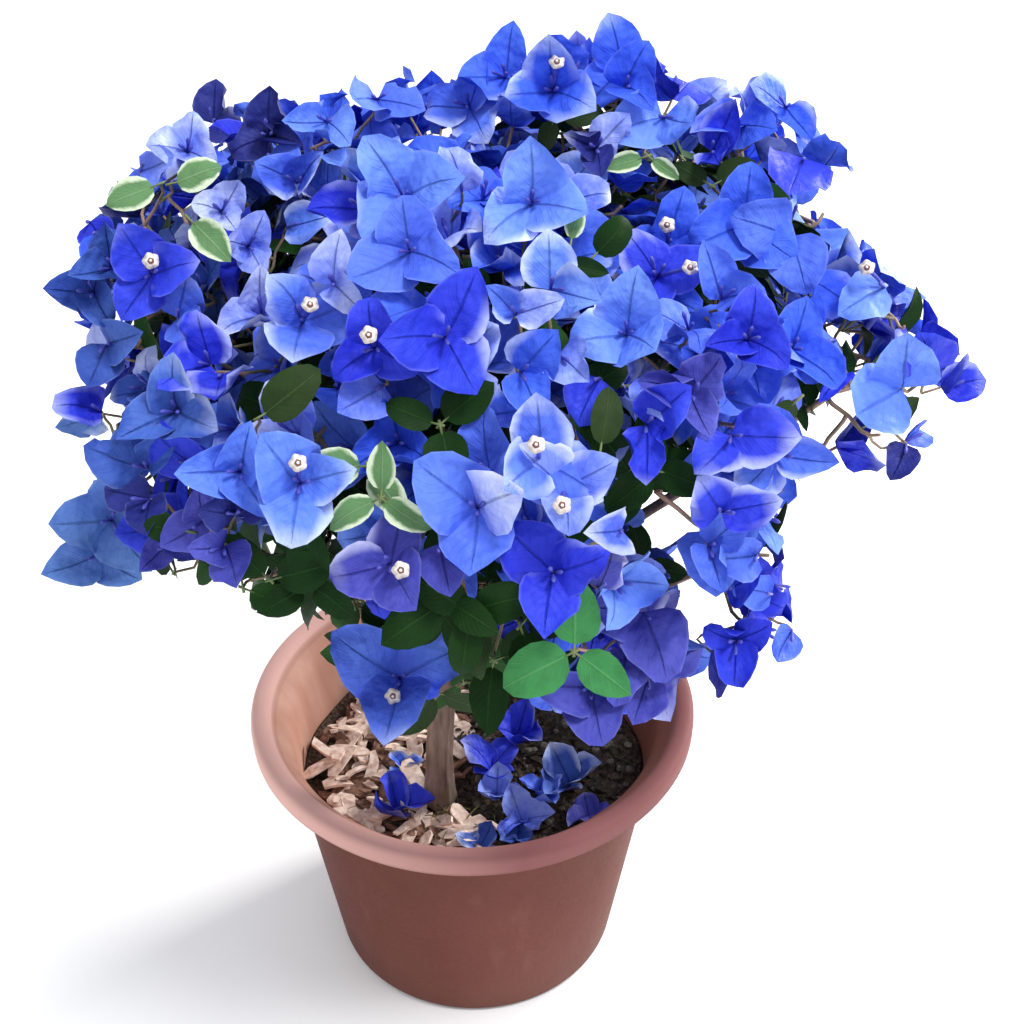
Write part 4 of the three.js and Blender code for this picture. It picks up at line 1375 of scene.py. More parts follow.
def fill(kind, layers, tries, spacing, seed):
    """Tries directions in each layer, and branches a spray where no other heart is within the
    spacing and no limb too near."""
    added = 0
    for numbers, heart, axis in tried_hearts(layers, tries, seed):
        apart = np.linalg.norm(np.array(crown.hearts) - heart, axis=1).min()
        if apart < spacing or np.linalg.norm(limb_points - heart, axis=1).min() < LIMB_ROOM:
            continue
        if crowds(heart) or in_ovals(heart, SKY, SKY_MARGIN):
            continue
        lobe = nearest_lobe(heart)
        start = nearest_joint(lobe, bend_under(heart, axis))
        if start is None:
            continue
        size = 0.85 + 0.35 * numbers[5]
        shape = {"roll": numbers[1], "cups": numbers[2:5], "size": size}
        is_green = leafy[lobe] or kind == "leaves" or in_ovals(heart, GREEN_PLACES)
        crown.branch(lobe, start, heart, axis, shape, "leaves" if is_green else kind)
        added += 1
    print(added, "more sprays of", kind)


fill("blossom", (-2, 6, 17, 30), tries=2000, spacing=24, seed=2)
fill("leaves", (28, 42, 58, 78, 100, 124), tries=1500, spacing=21, seed=3)

# %% [markdown]
# Bracts and leaves are both thin blades, so one function makes either. A blade is a closed sheet of
# a few faces: a pointed oval outline, bent along its midrib, folded and cupped across it, with edges
# that ripple and roll. Thousands are worked out together, one row of the arrays for each.

# %% A thin blade
BLADE_ROWS = np.array([0, 0.07, 0.2, 0.36, 0.53, 0.7, 0.86, 1])
BLADE_COLUMNS = np.array([-1, -0.6, 0, 0.6, 1])
INNER_SHARE = 0.6
RIPPLE_TURNS = 9.5


def blade_template():
    """Numbers the points of the upper sheet, and of the lower one, which shares the rim. Gives each
    point's row, column and layer, whether it is on the rim, and the triangles, facing outward."""
    rows = len(BLADE_ROWS) - 1
    columns = len(BLADE_COLUMNS) - 1
    top = np.zeros((rows + 1, columns + 1), int)
    top[1:-1] = 1 + np.arange((rows - 1) * (columns + 1)).reshape(rows - 1, -1)
    top[-1] = top[-2].max() + 1
    bottom = top.copy()
    bottom[1:-1, 1:-1] = top[-1, 0] + 1 + np.arange((rows - 1) * (columns - 1)).reshape(rows - 1, -1)
    count = bottom.max() + 1
    row = np.zeros(count, int)
    column = np.full(count, columns // 2)
    layer = np.zeros(count)
    cells = []
    for sheet, number, facing in ((top, 0, 1), (bottom, 1, -1)):
        row[sheet] = np.arange(rows + 1)[:, None]
        column[sheet[1:-1]] = np.arange(columns + 1)
        layer[sheet[1:-1, 1:-1]] = number
        a, b, c, d = sheet[:-1, :-1], sheet[1:, :-1], sheet[1:, 1:], sheet[:-1, 1:]
        for three in ((a, b, c), (a, c, d)):
            cells.append(np.stack(three[::facing], -1).reshape(-1, 3))
    cells = np.concatenate(cells)
    real = (cells[:, 0] != cells[:, 1]) & (cells[:, 1] != cells[:, 2]) & (cells[:, 0] != cells[:, 2])
    rim = np.zeros(count, bool)
    rim[top[:, [0, -1]]] = True
    return row, column, layer, rim, cells[real]


blade_row, blade_column, blade_layer, blade_rim, blade_faces = blade_template()
print("a blade has", len(blade_row), "points and", len(blade_faces), "triangles")

# %% [markdown]
# About a dozen numbers give a blade its shape: they bend its midrib, fold and cup its two sides,
# and roll and ripple its rims.

# %% Bending and folding the blades
def oval(t, early, late):
    """Half-width of a pointed oval, 1 at its widest: t to a power times 1 - t to another."""
    peak = early / (early + late)
    return t ** early * (1 - t) ** late / (peak ** early * (1 - peak) ** late)


def blades(base, out, axis, length, width, rise, bow, tip, fold, cup, roll, roll_at, ripple, phase, sway,
           early, late, thick=0.45):
    """The midrib leaves along out and climbs toward axis: its angle starts at the rise, falls evenly
    by the bow, and by the tip's share near the end. Places along it are running sums of the angle's
    cosine and sine. Across, each side leaves at the fold's angle, turns by the cup, and its outer
    part rolls by the roll round one place along the rim. A wave lifts the rim by the ripple. roll,
    roll_at and phase hold one number for each side."""
    t = BLADE_ROWS
    stack = (length, width, rise, bow, tip, fold, cup, ripple, sway)
    length, width, rise, bow, tip, fold, cup, ripple, sway = (np.reshape(v, (-1, 1)) for v in stack)

    def angle(t):
        return rise + bow * (0.5 - t) - tip * smoothstep(t, 0.5, 1.0)

    turn = angle((t[1:] + t[:-1]) / 2)
    start = np.zeros((len(base), 1))
    along = np.concatenate([start, length * np.cumsum(np.cos(turn) * np.diff(t), 1)], 1)[..., None]
    high = np.concatenate([start, length * np.cumsum(np.sin(turn) * np.diff(t), 1)], 1)[..., None]
    turn = angle(t)[..., None]
    normal = np.cos(turn) * axis[:, None] - np.sin(turn) * out[:, None]
    half = width / 2 * oval(t, early, late)
    fade = np.sqrt(np.sin(np.pi * t).clip(0))
    across = np.zeros((*half.shape, len(BLADE_COLUMNS)))
    lift = np.zeros_like(across)
    for side, sign, inner, outer in ((0, -1, 1, 0), (1, 1, 3, 4)):
        first = fold + cup * 0.3
        rolled = roll[:, side:side + 1] * np.exp(-((t - roll_at[:, side:side + 1]) / 0.2) ** 2)
        second = fold + cup + rolled
        wave = ripple * length * np.sin(RIPPLE_TURNS * t + phase[:, side:side + 1]) * fade
        across[..., inner] = sign * half * INNER_SHARE * np.cos(first)
        across[..., outer] = across[..., inner] + sign * half * (1 - INNER_SHARE) * np.cos(second)
        lift[..., inner] = half * INNER_SHARE * np.sin(first) + 0.3 * wave
        lift[..., outer] = half * (INNER_SHARE * np.sin(first) + (1 - INNER_SHARE) * np.sin(second)) + wave
    across += (sway * length * t ** 2)[..., None]
    place = base[:, None] + along * out[:, None] + high * axis[:, None]
    side = np.cross(axis, out)[:, None, None]
    grid = place[:, :, None] + across[..., None] * side + lift[..., None] * normal[:, :, None]
    return grid[:, blade_row, blade_column] - (blade_layer * thick)[:, None] * normal[:, blade_row]


def blade_mesh(points):
    """Blades as one mesh, with u and t as each one's own picture coordinates, and its rim."""
    count, step = points.shape[:2]
    uv = np.stack([BLADE_COLUMNS[blade_column] / 2 + 0.5, BLADE_ROWS[blade_row]], -1)
    return {"points": points.reshape(-1, 3), "faces": [repeated(blade_faces, step, count)],
            "uv": np.tile(uv, (count, 1)), "rim": np.tile(blade_rim, count)}


# %% [markdown]
# Each spray of blossom is three bracts round one heart. Its tint is the placed one's, or goes by
# where it grows: clear blue over the top and right, duller steel blue on the left, violet low in
# front, and now and then a nearly white bract. Each tint is the bracts' blue with light or shade
# painted in: the clear and light blues stand for sunlit bracts, the deep blue and indigo for shaded
# ones, the duller blues on the left and low in front for the shade there, and the palest for glare.

# %% The bracts' places
numbers = np.random.default_rng(11)


def told(shoots, what):
    """One thing about each of some shoots, as an array."""
    return np.array([shoot[what] for shoot in shoots])


blossom = [shoot for shoot in crown.shoots if shoot["kind"] == "blossom"]
hearts, axes, rolls, cups, sizes = (told(blossom, what)
                                    for what in ("heart", "axis", "roll", "cups", "size"))


def threes(hearts, axes, rolls):
    """The outward directions of the three blades of each spray, and their hearts and axes."""
    right, ahead = square_to(axes)
    turn = (rolls[:, None] + np.arange(3) / 3) * 2 * np.pi
    out = np.cos(turn)[..., None] * right[:, None] + np.sin(turn)[..., None] * ahead[:, None]
    repeat = np.repeat(np.stack([hearts, axes], 1)[:, None], 3, 1)
    return repeat[:, :, 0].reshape(-1, 3), out.reshape(-1, 3), repeat[:, :, 1].reshape(-1, 3)


def draws(shape, low, high):
    return numbers.uniform(low, high, shape)


def rolls_of(count, share, strongest):
    """How far the two rims of each blade roll: little for most, and far for a share of them."""
    slight = draws((count, 2), -0.35, 0.35)
    strong = draws((count, 2), 0.5, 1) * strongest * np.sign(draws((count, 2), -1, 0.6))
    return np.where(draws((count, 2), 0, 1) < share, strong, slight)


BRACT_LENGTH = 28
LEADING_SIZE = 1.15
LEADING_CALM = 0.5


def is_leading(shoot):
    """Whether a spray was placed by its pixel and is large or has an open flower."""
    return "tint" in shoot and ("star" in shoot or shoot["size"] >= LEADING_SIZE)


leads = np.repeat([is_leading(shoot) for shoot in blossom], 3)
calm = np.where(leads, LEADING_CALM, 1)
bract_hearts, bract_out, bract_axes = threes(hearts, axes, rolls)
count = len(bract_hearts)
bract_size = np.repeat(sizes, 3) * draws(count, 0.88, 1.08)
flattest, steepest = BRACT["lift"]
bract_points = blades(
    bract_hearts + bract_out * 0.1, bract_out, bract_axes,
    length=BRACT_LENGTH * bract_size,
    width=BRACT_LENGTH * bract_size * draws(count, 0.84, 1.02),
    rise=flattest + (steepest - flattest) * cups.ravel() + draws(count, -0.2, 0.35),
    bow=draws(count, -0.5, 0.9),
    tip=draws(count, -0.4, 1.4),
    fold=draws(count, -0.05, 0.6) * calm,
    cup=draws(count, -0.4, 0.6) * calm,
    roll=rolls_of(count, 0.3, 2.0) * calm[:, None],
    roll_at=draws((count, 2), 0.35, 0.9),
    ripple=draws(count, 0.02, 0.1),
    phase=draws((count, 2), 0, 6.28),
    sway=draws(count, -0.14, 0.14),
    early=0.48, late=0.86,
)

# %% [markdown]
# A spray keeps its tint in all three bracts, apart from a few single bracts high in the crown that are
# painted nearly white as glare.

# %% The bracts' tints
# Light and shade are painted into these blues: bright and sky stand for sunlit bracts, deep and indigo for
# shaded ones, and the palest edges for glare.
TINTS = {
    "bright": ((52, 86, 222), (80, 118, 238)),
    "deep": ((36, 46, 196), (54, 74, 222)),
    "sky": ((88, 124, 232), (124, 160, 246)),
    "mid": ((70, 98, 218), (98, 132, 238)),
    "violet": ((60, 62, 160), (86, 90, 190)),
    "steel": ((46, 74, 162), (78, 112, 198)),
    "cyan": ((76, 110, 186), (108, 148, 214)),
    "indigo": ((30, 36, 112), (48, 56, 142)),
    "frosted": ((80, 104, 226), (156, 176, 244)),
    "pale": ((88, 114, 232), (210, 220, 250)),
}
LEFT_TIP = -165
LEFT_TIP_TOP = 400
SHADE_LEFT = -120
SHADE_HEIGHT = 455
LEFT_SIDE = -95
RIGHT_SIDE = 95
LOW_TOP = 335
TIP_MIX = ("cyan", "steel")
LEFT_MIX = ("steel", "steel", "mid", "deep", "bright")
LOW_RIGHT_MIX = ("mid", "deep", "deep", "violet")
LOW_MIX = ("violet", "violet", "deep", "mid")
TOP_MIX = ("bright", "bright", "deep", "mid", "sky", "sky", "mid", "mid", "frosted", "bright")
# A few bracts high in the crown are painted nearly white, as a glare highlight.
GLARE_CHANCE = 0.02
GLARE_HEIGHT = 340


def picked(mix, chance):
    """The name that a chance from 0 to 1 falls on, with an equal share for each."""
    return mix[int(chance * len(mix))]


def tint_of(heart, chance):
    """The tint of a spray by where it grows, with some chance of its neighbours' tint. The darker and
    duller tints on the left and low in front are painted shade.
    """
    x, _, z = heart
    if x < LEFT_TIP and z < LEFT_TIP_TOP:
        return picked(TIP_MIX, chance)
    # Painted shade: the top of the crown's left side is often indigo.
    if x < SHADE_LEFT and z > SHADE_HEIGHT and chance < 0.5:
        return "indigo"
    if x < LEFT_SIDE:
        return picked(LEFT_MIX, chance)
    if z < LOW_TOP:
        return picked(LOW_RIGHT_MIX if x > RIGHT_SIDE else LOW_MIX, chance)
    return picked(TOP_MIX, chance)


chances = draws(len(hearts), 0, 1)
spray_tints = [shoot.get("tint") or tint_of(shoot["heart"], chance)
               for shoot, chance in zip(blossom, chances)]
bract_tints = np.repeat(spray_tints, 3)
bract_tints[(draws(count, 0, 1) < GLARE_CHANCE) & (bract_hearts[:, 2] > GLARE_HEIGHT)] = "pale"

# %% [markdown]
# Leaves grow in whorls under the blossom and singly along the shoots. They are stiffer blades than
# bracts, flatter and with fewer ripples, on short stalks.

# %% The leaves' places
leaf_sprays = [shoot for shoot in crown.shoots if shoot["kind"] not in ("blossom", "bare")]
LEAF_MIX = ("dark", "dark", "mid", "mid", "olive")
leaf_kinds = [picked(LEAF_MIX, chance) if shoot["kind"] == "leaves" else shoot["kind"]
              for shoot, chance in zip(leaf_sprays, draws(len(leaf_sprays), 0, 1))]
whorls = (told(leaf_sprays, what) for what in ("heart", "axis", "roll"))
whorl_hearts, whorl_out, whorl_axes = threes(*whorls)
whorl_size = np.repeat(told(leaf_sprays, "size"), 3) * draws(3 * len(leaf_sprays), 0.78, 1.08)
side_root = np.array([root for root, _, _ in crown.leaves])
side_pairs = [leaf_directions(axis, turn, LEAF_LEAN) for _, axis, turn in crown.leaves]
side_out, side_up = np.moveaxis(np.array(side_pairs), 1, 0)
side_size = np.full(len(side_root), LEAF_SIZE)
side_kinds = np.array(["dark", "mid", "olive"])[numbers.integers(0, 3, len(side_root))]

PETIOLE = 5
LEAF_LENGTH = 28
leaf_base = np.concatenate([whorl_hearts + whorl_out * PETIOLE * 0.6, side_root + side_out * PETIOLE])
leaf_out = np.concatenate([whorl_out, side_out])
leaf_up = np.concatenate([whorl_axes, side_up])
leaf_size = np.concatenate([whorl_size, side_size])
leaf_kind = np.concatenate([np.repeat(leaf_kinds, 3), side_kinds])
count = len(leaf_base)
leaf_points = blades(
    leaf_base, leaf_out, leaf_up,
    length=LEAF_LENGTH * leaf_size,
    width=LEAF_LENGTH * leaf_size * draws(count, 0.55, 0.75),
    rise=draws(count, -0.1, 0.4),
    bow=draws(count, 0.0, 0.7),
    tip=draws(count, -0.2, 0.7),
    fold=draws(count, 0.05, 0.4),
    cup=draws(count, -0.2, 0.2),
    roll=rolls_of(count, 0.1, 0.8),
    roll_at=draws((count, 2), 0.3, 0.7),
    ripple=draws(count, 0.0, 0.025),
    phase=draws((count, 2), 0, 6.28),
    sway=draws(count, -0.12, 0.12),
    early=0.55, late=0.8, thick=0.6,
)
leaf_counts = [shoot.get("leaf_count", 3) for shoot in leaf_sprays]
grown = (np.arange(3) < np.array(leaf_counts)[:, None]).ravel()
grown = np.concatenate([grown, np.ones(len(side_root), bool)])

# %% [markdown]
# The crown is open where the photograph shows sky through it or beside it, so any bract or leaf that
# would cross one of those lines of sight has fallen off. So has a blade that would poke through the
# cup of another spray: the cup is a ball a little above that spray's heart. The largest placed
# sprays, those with an open flower and the placed sprigs other than the dark ones lead, and whatever
# would cut through them gives way too.

# %% Gaps of sky and cups
CUP_RISE = 9
CUP_ROOM = 5
LEADING_LEAVES = ("variegated", "fresh", "olive", "mid")


def enters_cup(points, own_blades):
    """Whether a blade has a point in any spray's cup. The first blades are the sprays' own, that
    many for each, and those don't count for their own cup."""
    entered = np.zeros(len(points), bool)
    for i, middle in enumerate(hearts + axes * CUP_RISE):
        inside = (((points - middle) ** 2).sum(-1) < CUP_ROOM ** 2).any(1)
        inside[i * own_blades:(i + 1) * own_blades] = False
        entered |= inside
    return entered


def blade_tree(points):
    """A search tree over the triangles of some blades."""
    faces = repeated(blade_faces, points.shape[1], len(points))
    return BVHTree.FromPolygons(points.reshape(-1, 3).tolist(), faces.tolist())


def cuts_a_leader(points):
    """Whether a blade cuts through a bract or leaf of one of the leading sprays."""
    pairs = blade_tree(points).overlap(leading_tree)
    cuts = np.zeros(len(points), bool)
    cuts[np.array([first // len(blade_faces) for first, _ in pairs], int)] = True
    return cuts


leaf_leads = np.repeat([shoot["kind"] in LEADING_LEAVES for shoot in leaf_sprays], 3)
leaf_leads = grown & np.concatenate([leaf_leads, np.zeros(len(side_root), bool)])
leading_tree = blade_tree(np.concatenate([bract_points[leads], leaf_points[leaf_leads]]))
kept_bracts = leads | ~(enters_cup(bract_points, 3) | cuts_a_leader(bract_points))
kept_bracts &= ~in_ovals(bract_points, SKY).any(1)
kept_leaves = leaf_leads | ~(enters_cup(leaf_points, 0) | cuts_a_leader(leaf_points))
kept_leaves &= grown & ~in_ovals(leaf_points, SKY).any(1)
print(len(bract_points), "bracts,", int((~kept_bracts).sum()), "of them fallen")

# %% [markdown]
# Bracts are papery: deeper at the heart, paler out to a fine rim, with a dark midrib and faint veins
# that stand up. The fine rim is partly a real paler edge and partly a painted highlight. Where patches
# of painted glare fall, it brightens and the tips turn nearly white.

# %% The bracts' finish
blossom_nodes = [f"foliage_{name}" for name, green in zip(names, leafy) if not green]
leaf_nodes = [f"foliage_{name}" for name, green in zip(names, leafy) if green]


def bract_finish(name, body, edge):
    """Papery: deeper at the heart, paler out to a fine rim and at some tips, with a dark midrib and
    a faint net of veins that stand up. The rim is partly a painted highlight, and the nearly white tips
    are painted glare."""
    finish = Finish(name, 0.6, 0.2)
    off, along = finish.blade_place()
    net = finish.noise(230, 4)
    patches = finish.noise(26, 1)
    slant = (along - off * 0.9) * 46
    vein = slant.sine().between(0.75, 1.0) * (1 - off.between(0.3, 0.42))
    midrib = (1 - off.between(0.0, 0.03)) * (1 - along.between(0.75, 0.95))
    lighter = patches.between(0.35, 0.65) * 0.7 + net.between(0.45, 0.7) * 0.25
    colour = finish.blend(lighter * along.between(-0.2, 0.6), body, edge)
    colour = finish.blend(vein * 0.03 + midrib * 0.32, colour, 0.62 * np.array(body))
    # Patches of painted glare, where the rim brightens and the tips turn nearly white.
    painted_glare = finish.noise(16, 1).between(0.55, 0.63)
    rim = off.between(0.45, 0.5) * along.between(0.1, 0.2) * (0.14 + 0.4 * painted_glare)
    tip = off.between(0.28, 0.46).larger(along.between(0.64, 0.94)) * painted_glare * 0.85
    glare_white = 0.32 * np.array(edge) + 0.68 * np.array([234, 238, 252])
    finish.colour(finish.blend(rim.larger(tip), colour, glare_white))
    finish.roughness(0.5 + 0.15 * net)
    crumple = finish.noise(60, 2) * 3.0 + finish.noise(150, 1) * 0.9
    finish.relief(vein * 0.06 - midrib * 0.4 + net * 0.4 + crumple, 0.0018, 1.0)
    return finish.material


bract_finishes = {tint: bract_finish(f"bract_{tint}", *colours) for tint, colours in TINTS.items()}
for tint, material in bract_finishes.items():
    chosen = bract_points[(bract_tints == tint) & kept_bracts]
    if len(chosen):
        make_piece(f"bracts_{tint}", finish=material, slot="blossom", replaces=blossom_nodes,
                   **blade_mesh(chosen))

# %% [markdown]
# Most leaves are dark green, some olive and fresh green, and a few sprigs have cream margins. The
# darkest green is partly painted shade, the tone of leaves in the crown's shade. The margin follows
# the leaf, so it comes from the blade's own picture coordinates, and noise makes it uneven.

# %% The leaves' finish
GREENS = {
    # Partly painted shade: this green is darkened to the tone of leaves in the crown's shade.
    "dark": ((20, 51, 16), (40, 74, 32), 0),
    "mid": ((34, 74, 27), (58, 100, 44), 0),
    "olive": ((42, 62, 30), (66, 86, 48), 0),
    "fresh": ((64, 136, 78), (96, 160, 98), 0),
    "variegated": ((98, 138, 92), (134, 166, 120), 1),
}


def leaf_finish(name, body, vein_tone, margin):
    """Waxy green with a paler midrib and side veins that slant to the rim, and a margin or none."""
    finish = Finish(name, 0.5, 0.1)
    off, along = finish.blade_place()
    slant = (along - off * 0.7) * 52
    vein = slant.sine().between(0.7, 1.0)
    midrib = 1 - off.between(0.01, 0.04)
    mottle = finish.noise(120, 3)
    colour = finish.blend(mottle.between(0.4, 0.65) * 0.5, body, np.array(body) * 0.75)
    colour = finish.blend(vein * 0.12 + midrib * 0.5, colour, vein_tone)
    if margin:
        uneven = off + (mottle - 0.5) * 0.45
        colour = finish.blend(uneven.between(0.3, 0.42), colour, (206, 220, 190))
    finish.colour(colour)
    finish.roughness(0.45 + 0.2 * mottle)
    finish.relief(midrib + vein * 0.3 + mottle, 0.0005, 0.6)
    return finish.material


for kind, (body, vein_tone, margin) in GREENS.items():
    chosen = leaf_points[(leaf_kind == kind) & kept_leaves]
    make_piece(f"leaves_{kind}", finish=leaf_finish(f"leaf_{kind}", body, vein_tone, margin), slot="leaves",
               replaces=leaf_nodes, **blade_mesh(chosen))

# %% [markdown]
# Shoots, leaf stalks and flower tubes are all thin canes. A cane is a five-sided tube along its own
# few points, and again all of one kind are one mesh.

# %% Canes
CANE_SIDES = 5


def canes(paths, radii):
    """Ring i of a cane lies square to its path there: the path's heading comes from its neighbours,
    and two directions square to it from one fixed aside direction. The ends close in a point."""
    headings = unit(np.gradient(paths, axis=1))
    chord = unit(paths[:, -1] - paths[:, 0])
    first = square_to(chord)[0][:, None]
    second = unit(np.cross(headings, first))
    first = np.cross(second, headings)
    turn = np.arange(CANE_SIDES) * 2 * np.pi / CANE_SIDES
    around = np.cos(turn)[:, None] * first[:, :, None] + np.sin(turn)[:, None] * second[:, :, None]
    rings = paths[:, :, None] + around * radii[..., None, None]
    rings = rings.reshape(len(paths), -1, 3)
    points = np.concatenate([rings, paths[:, :1], paths[:, -1:]], 1)
    count, step = points.shape[:2]
    faces = ring_faces(paths.shape[1], CANE_SIDES)
    return points.reshape(-1, 3), [repeated(block, step, count) for block in faces]

# %% [markdown]
# A shoot sways a little to and fro on its way. One that bears no blade any more ends just past its
# last joint, and is left off where nothing branches from it.

# %% Shoots, stems and leaf stalks
KNEE = 0.035
KNEES = ((0.17, 1), (0.35, 0), (0.52, -1), (0.7, 0), (0.87, 1))
FALL_ROUNDS = 6
SPENT_RISE = 7
EARLY_RADIUS = 1.25
LATE_RADIUS = 0.9
starts, bends, tops, rises = (told(crown.shoots, what) for what in ("start", "bend", "heart", "axis"))
knots = starts[:, None] + (bends - starts)[:, None] * np.array(SHOOT_JOINTS)[:, None]
starts_there = (np.linalg.norm(knots[:, :, None] - starts, axis=-1) < 1e-6).any(1)
kinds = told(crown.shoots, "kind")
blades_left = np.zeros(len(starts), int)
blades_left[kinds == "blossom"] = kept_bracts.reshape(-1, 3).sum(1)
whorls_left = kept_leaves[:3 * len(leaf_sprays)].reshape(-1, 3).sum(1)
blades_left[(kinds != "blossom") & (kinds != "bare")] = whorls_left
kept_shoots = np.ones(len(starts), bool)
for _ in range(FALL_ROUNDS):
    kept_shoots = (blades_left > 0) | (starts_there & kept_shoots).any(1)
print(int((~kept_shoots).sum()), "shoots fallen with all they bore")
spent = (blades_left == 0)[:, None]
bends = np.where(spent, starts + (bends - starts) * (SHOOT_JOINTS[1] + 0.02), bends)
tops = np.where(spent, bends + rises * SPENT_RISE, tops)
knee_side = square_to(unit(bends - starts))[0] * np.linalg.norm(bends - starts, axis=1)[:, None] * KNEE
shoot_paths = np.stack([
    starts,
    *[starts + (bends - starts) * share + knee_side * side for share, side in KNEES],
    bends + rises * 1.5,
    bends + rises * 6,
    tops,
], 1)
is_first = np.arange(len(starts)) < source_count
shoot_radii = np.where(is_first, EARLY_RADIUS, LATE_RADIUS)[:, None]
shoot_radii = shoot_radii * np.linspace(1, 0.7, shoot_paths.shape[1])
stem_paths = np.array([[tip - (middle - tip) * 0.1, tip, (tip + middle) / 2, middle]
                       for tip, middle in crown.stems])
stem_radii = np.tile([2.0, 1.95, 1.6, 1.2], (len(stem_paths), 1))
shoot_finish = Finish("young_twig", 0.6, 0.35)
tone = shoot_finish.noise(70, 3)
shoot_finish.colour(shoot_finish.blend(tone.between(0.4, 0.6), (112, 108, 74), (164, 132, 112)))
shoot_finish.relief(shoot_finish.noise(600, 2), 0.0002, 0.4)
twigs = [canes(shoot_paths[kept_shoots], shoot_radii[kept_shoots]), canes(stem_paths, stem_radii)]
make_piece("shoots", *merged(twigs), shoot_finish.material, "bark", replaces=blossom_nodes + leaf_nodes)

petiole_paths = np.stack([
    leaf_base - leaf_out * PETIOLE,
    leaf_base - leaf_out * PETIOLE * 0.5 + leaf_up * 0.3,
    leaf_base + leaf_out * 2,
], 1)[kept_leaves]
petiole_radii = np.tile([0.7, 0.55, 0.4], (len(petiole_paths), 1))
stalk_finish = two_tone("leaf_stalk", 0.5, 0.35, (92, 116, 64), (120, 128, 84), 200)
make_piece("leaf_stalks", *canes(petiole_paths, petiole_radii), stalk_finish.material, "bark")

# %% [markdown]
# The true flowers are small: three slender tubes stand in each spray, and here and there one is open
# as a white star, nearly round, with a dark ring at its throat.

# %% Flower tubes
BUD_LEAN = 0.35
bud_length = draws(len(bract_hearts), 8, 13)[:, None]
bud_heading = unit(bract_axes + bract_out * BUD_LEAN)
bud_root = bract_hearts + bract_axes * 0.5
bud_paths = np.stack([bud_root + bud_heading * bud_length * share for share in (0, 0.5, 0.85, 1)], 1)
clear_ahead = np.array([leading_tree.ray_cast(root + heading * 2, heading, length)[0] is None
                        for root, heading, length in zip(bud_root, bud_heading, bud_length[:, 0])])
bud_paths = bud_paths[kept_bracts & clear_ahead]
bud_radii = np.tile([0.6, 0.7, 1.05, 0.5], (len(bud_paths), 1))
bud_finish = two_tone("flower_tube", 0.5, 0.35, (52, 54, 150), (96, 100, 196), 300)
make_piece("flower_buds", *canes(bud_paths, bud_radii), bud_finish.material, "blossom")

# %% [markdown]
# A star is a fan of triangles whose rim waves five times, for its five lobes. The placed flowers have
# one, and on the crown's far side a few more open by chance. A dark ring fills the throat, with a
# pale pistil in it, and a tube joins each star to its spray's heart.

# %% Open stars
FAR_SIDE = 30
FAR_CHANCE = 0.06
chances = draws(len(hearts), 0, 1)
opened = np.array(["star" in shoot for shoot in blossom])
opened |= (hearts[:, 1] > FAR_SIDE) & (chances < FAR_CHANCE)
opened &= kept_bracts.reshape(-1, 3).any(1)
star_axes = axes[opened]
star_hearts = hearts[opened]
star_middle = star_hearts + star_axes * FLOWER_RISE
for i, shoot in enumerate([shoot for shoot, is_open in zip(blossom, opened) if is_open]):
    star_middle[i] = shoot.get("star", star_middle[i])
star_axes = unit(star_axes + 0.4 * unit(star_middle - star_hearts))
STAR_POINTS = 20
STAR_RADIUS = 3.5


def stars(middle, axes):
    """Rim point k lies at its angle, out by a radius that waves five times round, and a shade up.
    The back is a fan to a point in the tube."""
    right, ahead = square_to(axes)
    angle = np.arange(STAR_POINTS) * 2 * np.pi / STAR_POINTS
    radius = STAR_RADIUS + 0.3 * np.cos(5 * angle)
    rim = middle[:, None] + (radius * np.cos(angle))[:, None] * right[:, None]
    rim = rim + (radius * np.sin(angle))[:, None] * ahead[:, None]
    rim = rim + (0.4 * np.cos(5 * angle) + 0.5)[:, None] * axes[:, None]
    face = middle + axes * 0.2
    back = middle - axes * 1.6
    points = np.concatenate([rim, face[:, None], back[:, None]], 1)
    k = np.arange(STAR_POINTS)
    template = np.concatenate([fan(STAR_POINTS, k), fan(STAR_POINTS + 1, k)[:, BACKWARD]])
    return points.reshape(-1, 3), [repeated(template, STAR_POINTS + 2, len(middle))]


def upright(base, axes, rises, radii):
    """Canes that stand at each base along its axis, with a radius for each rise."""
    paths = base[:, None] + axes[:, None] * np.array(rises)[:, None]
    return canes(paths, np.tile(radii, (len(base), 1)))


star_finish = two_tone("flower_cream", 0.5, 0.3, (238, 222, 214), (250, 243, 238), 400)
throat_finish = two_tone("flower_throat", 0.6, 0.3, (96, 60, 66), (140, 98, 90), 500)
pistils = upright(star_middle, star_axes, (0.6, 1.2, 1.6, 1.8), (0.65, 0.7, 0.6, 0.3))
throats = upright(star_middle, star_axes, (-0.4, 0.3, 0.8, 1.0), (1.6, 1.6, 1.5, 0.9))
faces_and_pistils = merged([stars(star_middle, star_axes), pistils])
make_piece("flower_stars", *faces_and_pistils, star_finish.material, "blossom")
make_piece("flower_throats", *throats, throat_finish.material, "blossom")
tube_paths = np.stack([
    star_hearts,
    star_hearts + (star_middle - star_hearts) * 0.4 + axes[opened] * 1.0,
    star_hearts + (star_middle - star_hearts) * 0.8 + axes[opened] * 0.5,
    star_middle - star_axes * 0.8,
], 1)
tube_radii = np.tile([0.8, 0.9, 1.1, 1.3], (len(star_middle), 1))
make_piece("flower_tubes", *canes(tube_paths, tube_radii), bud_finish.material, "blossom")

# %% [markdown]
# A few dry olive stalks lean out of the soil by the trunk's foot, as thin canes that bend over.

